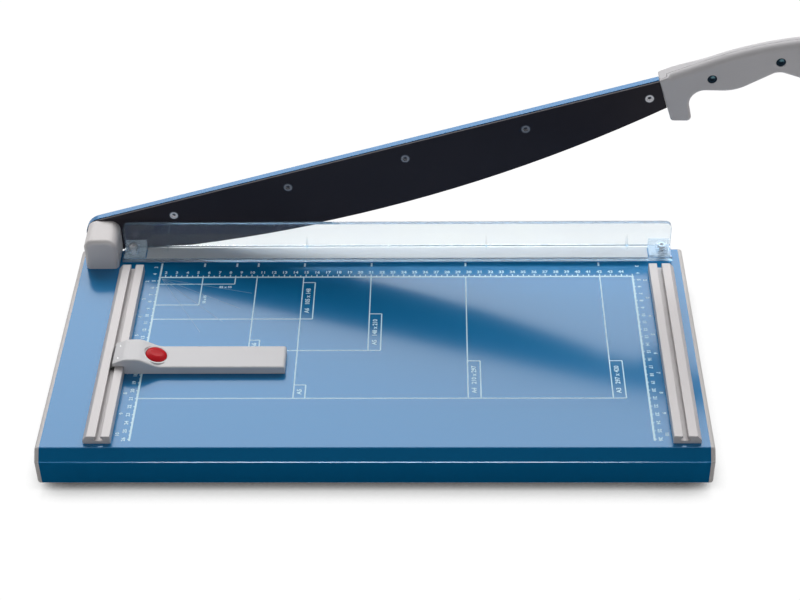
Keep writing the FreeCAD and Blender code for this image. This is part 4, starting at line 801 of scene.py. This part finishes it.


# White to the eye with a painted shadow of the machine, drawn from ambient occlusion into its
# glow; matt to the lamps; and painted dark in front of the machine for what gloss mirrors
def makeFloor():
    mesh = bmesh.new()
    bmesh.ops.create_grid(mesh, x_segments=1, y_segments=1, size=studio["floorSize"])
    floor = newObject("floor", mesh)
    floor.location.z = -studio["floorDrop"]
    material, tree, output = bareMaterial("paleFloor")
    matt = addNode(tree, "ShaderNodeBsdfDiffuse")
    matt.inputs["Color"].default_value = (studio["floorShade"],) * 3 + (1,)
    glow = setInputs(addNode(tree, "ShaderNodeEmission"), Color=(1, 1, 1, 1))
    # the machine's shadow, painted into the floor's glow from ambient occlusion
    near = addNode(tree, "ShaderNodeAmbientOcclusion", samples=studio["shadowSamples"])
    near.inputs["Distance"].default_value = studio["shadowReach"]
    shadow = addNode(tree, "ShaderNodeMapRange")
    setRange(shadow, *studio["shadowRange"], studio["shadowDark"], studio["floorWhite"])
    tree.links.new(near.outputs["AO"], shadow.inputs["Value"])
    place = addNode(tree, "ShaderNodeTexCoord")
    split = addNode(tree, "ShaderNodeSeparateXYZ")
    tree.links.new(place.outputs["Object"], split.inputs[0])
    inFront = addNode(tree, "ShaderNodeMath", operation="LESS_THAN")
    inFront.inputs[1].default_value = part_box("table_shell")[0].y
    tree.links.new(split.outputs["Y"], inFront.inputs[0])
    ray = addNode(tree, "ShaderNodeLightPath")
    gloss = addNode(tree, "ShaderNodeMath", operation="MULTIPLY")
    tree.links.new(inFront.outputs[0], gloss.inputs[0])
    tree.links.new(ray.outputs["Is Glossy Ray"], gloss.inputs[1])
    kept = addNode(tree, "ShaderNodeMath", operation="SUBTRACT")
    kept.inputs[0].default_value = 1.0
    tree.links.new(gloss.outputs[0], kept.inputs[1])
    strength = addNode(tree, "ShaderNodeMath", operation="MULTIPLY")
    tree.links.new(shadow.outputs["Result"], strength.inputs[0])
    tree.links.new(kept.outputs[0], strength.inputs[1])
    tree.links.new(strength.outputs[0], glow.inputs["Strength"])
    mixShaders(tree, output, addSight(tree).outputs[0], matt, glow)
    floor.data.materials.append(material)


# White for the eye and for reflections. As light it is stronger from the back than from the front
def makeWorld():
    world = bpy.data.worlds.new("studioWorld")
    bpy.context.scene.world = world
    world.use_nodes = True
    tree = world.node_tree
    background = tree.nodes["Background"]
    seen = addSight(tree)
    place = addNode(tree, "ShaderNodeTexCoord")
    split = addNode(tree, "ShaderNodeSeparateXYZ")
    tree.links.new(place.outputs["Generated"], split.inputs[0])
    level = addNode(tree, "ShaderNodeMapRange", interpolation_type="SMOOTHSTEP")
    setRange(level, *studio["ambientRange"], studio["ambientFront"], studio["ambient"])
    tree.links.new(split.outputs["Y"], level.inputs["Value"])
    chosen = addNode(tree, "ShaderNodeMix", data_type="FLOAT")
    tree.links.new(seen.outputs[0], chosen.inputs["Factor"])
    tree.links.new(level.outputs["Result"], chosen.inputs[2])
    chosen.inputs[3].default_value = 1.0
    tree.links.new(chosen.outputs[0], background.inputs["Strength"])
    background.inputs["Color"].default_value = (1, 1, 1, 1)


# A dark card behind the camera and above it, which only reflections show
def makeCard():
    mesh = bmesh.new()
    half = studio["cardHalf"]
    upright = (Matrix.Translation((0, studio["cardPlace"], half))
               @ Matrix.Rotation(math.radians(90), 4, "X"))
    bmesh.ops.create_grid(mesh, x_segments=1, y_segments=1, size=half, matrix=upright)
    top = [line for line in mesh.edges if all(corner.co.z > half for corner in line.verts)]
    raised = bmesh.ops.extrude_edge_only(mesh, edges=top)["geom"]
    corners = [item for item in raised if isinstance(item, bmesh.types.BMVert)]
    bmesh.ops.translate(mesh, verts=corners, vec=(0, studio["cardRoof"], 0))
    card = newObject("darkCard", mesh)
    material, tree, output = bareMaterial("darkCard")
    clear = addNode(tree, "ShaderNodeBsdfTransparent")
    dark = setInputs(addNode(tree, "ShaderNodeEmission"), Color=(1, 1, 1, 1),
                     Strength=studio["cardShade"])
    ray = addNode(tree, "ShaderNodeLightPath")
    mixShaders(tree, output, ray.outputs["Is Glossy Ray"], clear, dark)
    card.data.materials.append(material)


def addLamp(name, place, target, width, height, brightness):
    data = bpy.data.lights.new(name, "AREA")
    data.shape = "RECTANGLE"
    data.size, data.size_y = width, height
    data.energy = brightness * math.pi * width * height
    lamp = bpy.data.objects.new(name, data)
    bpy.context.scene.collection.objects.link(lamp)
    lamp.location = place
    lamp.rotation_euler = (Vector(target) - Vector(place)).to_track_quat("-Z", "Y").to_euler()
    return lamp


makeFloor()
makeWorld()
makeCard()
for name, values in studio["lamps"].items():
    lamp = addLamp(name, *values)
    lamp.visible_diffuse = name != "frontGloss"    # a sheet of light that only gloss shows
bpy.context.scene.view_settings.view_transform = "Standard"
print("studio set")
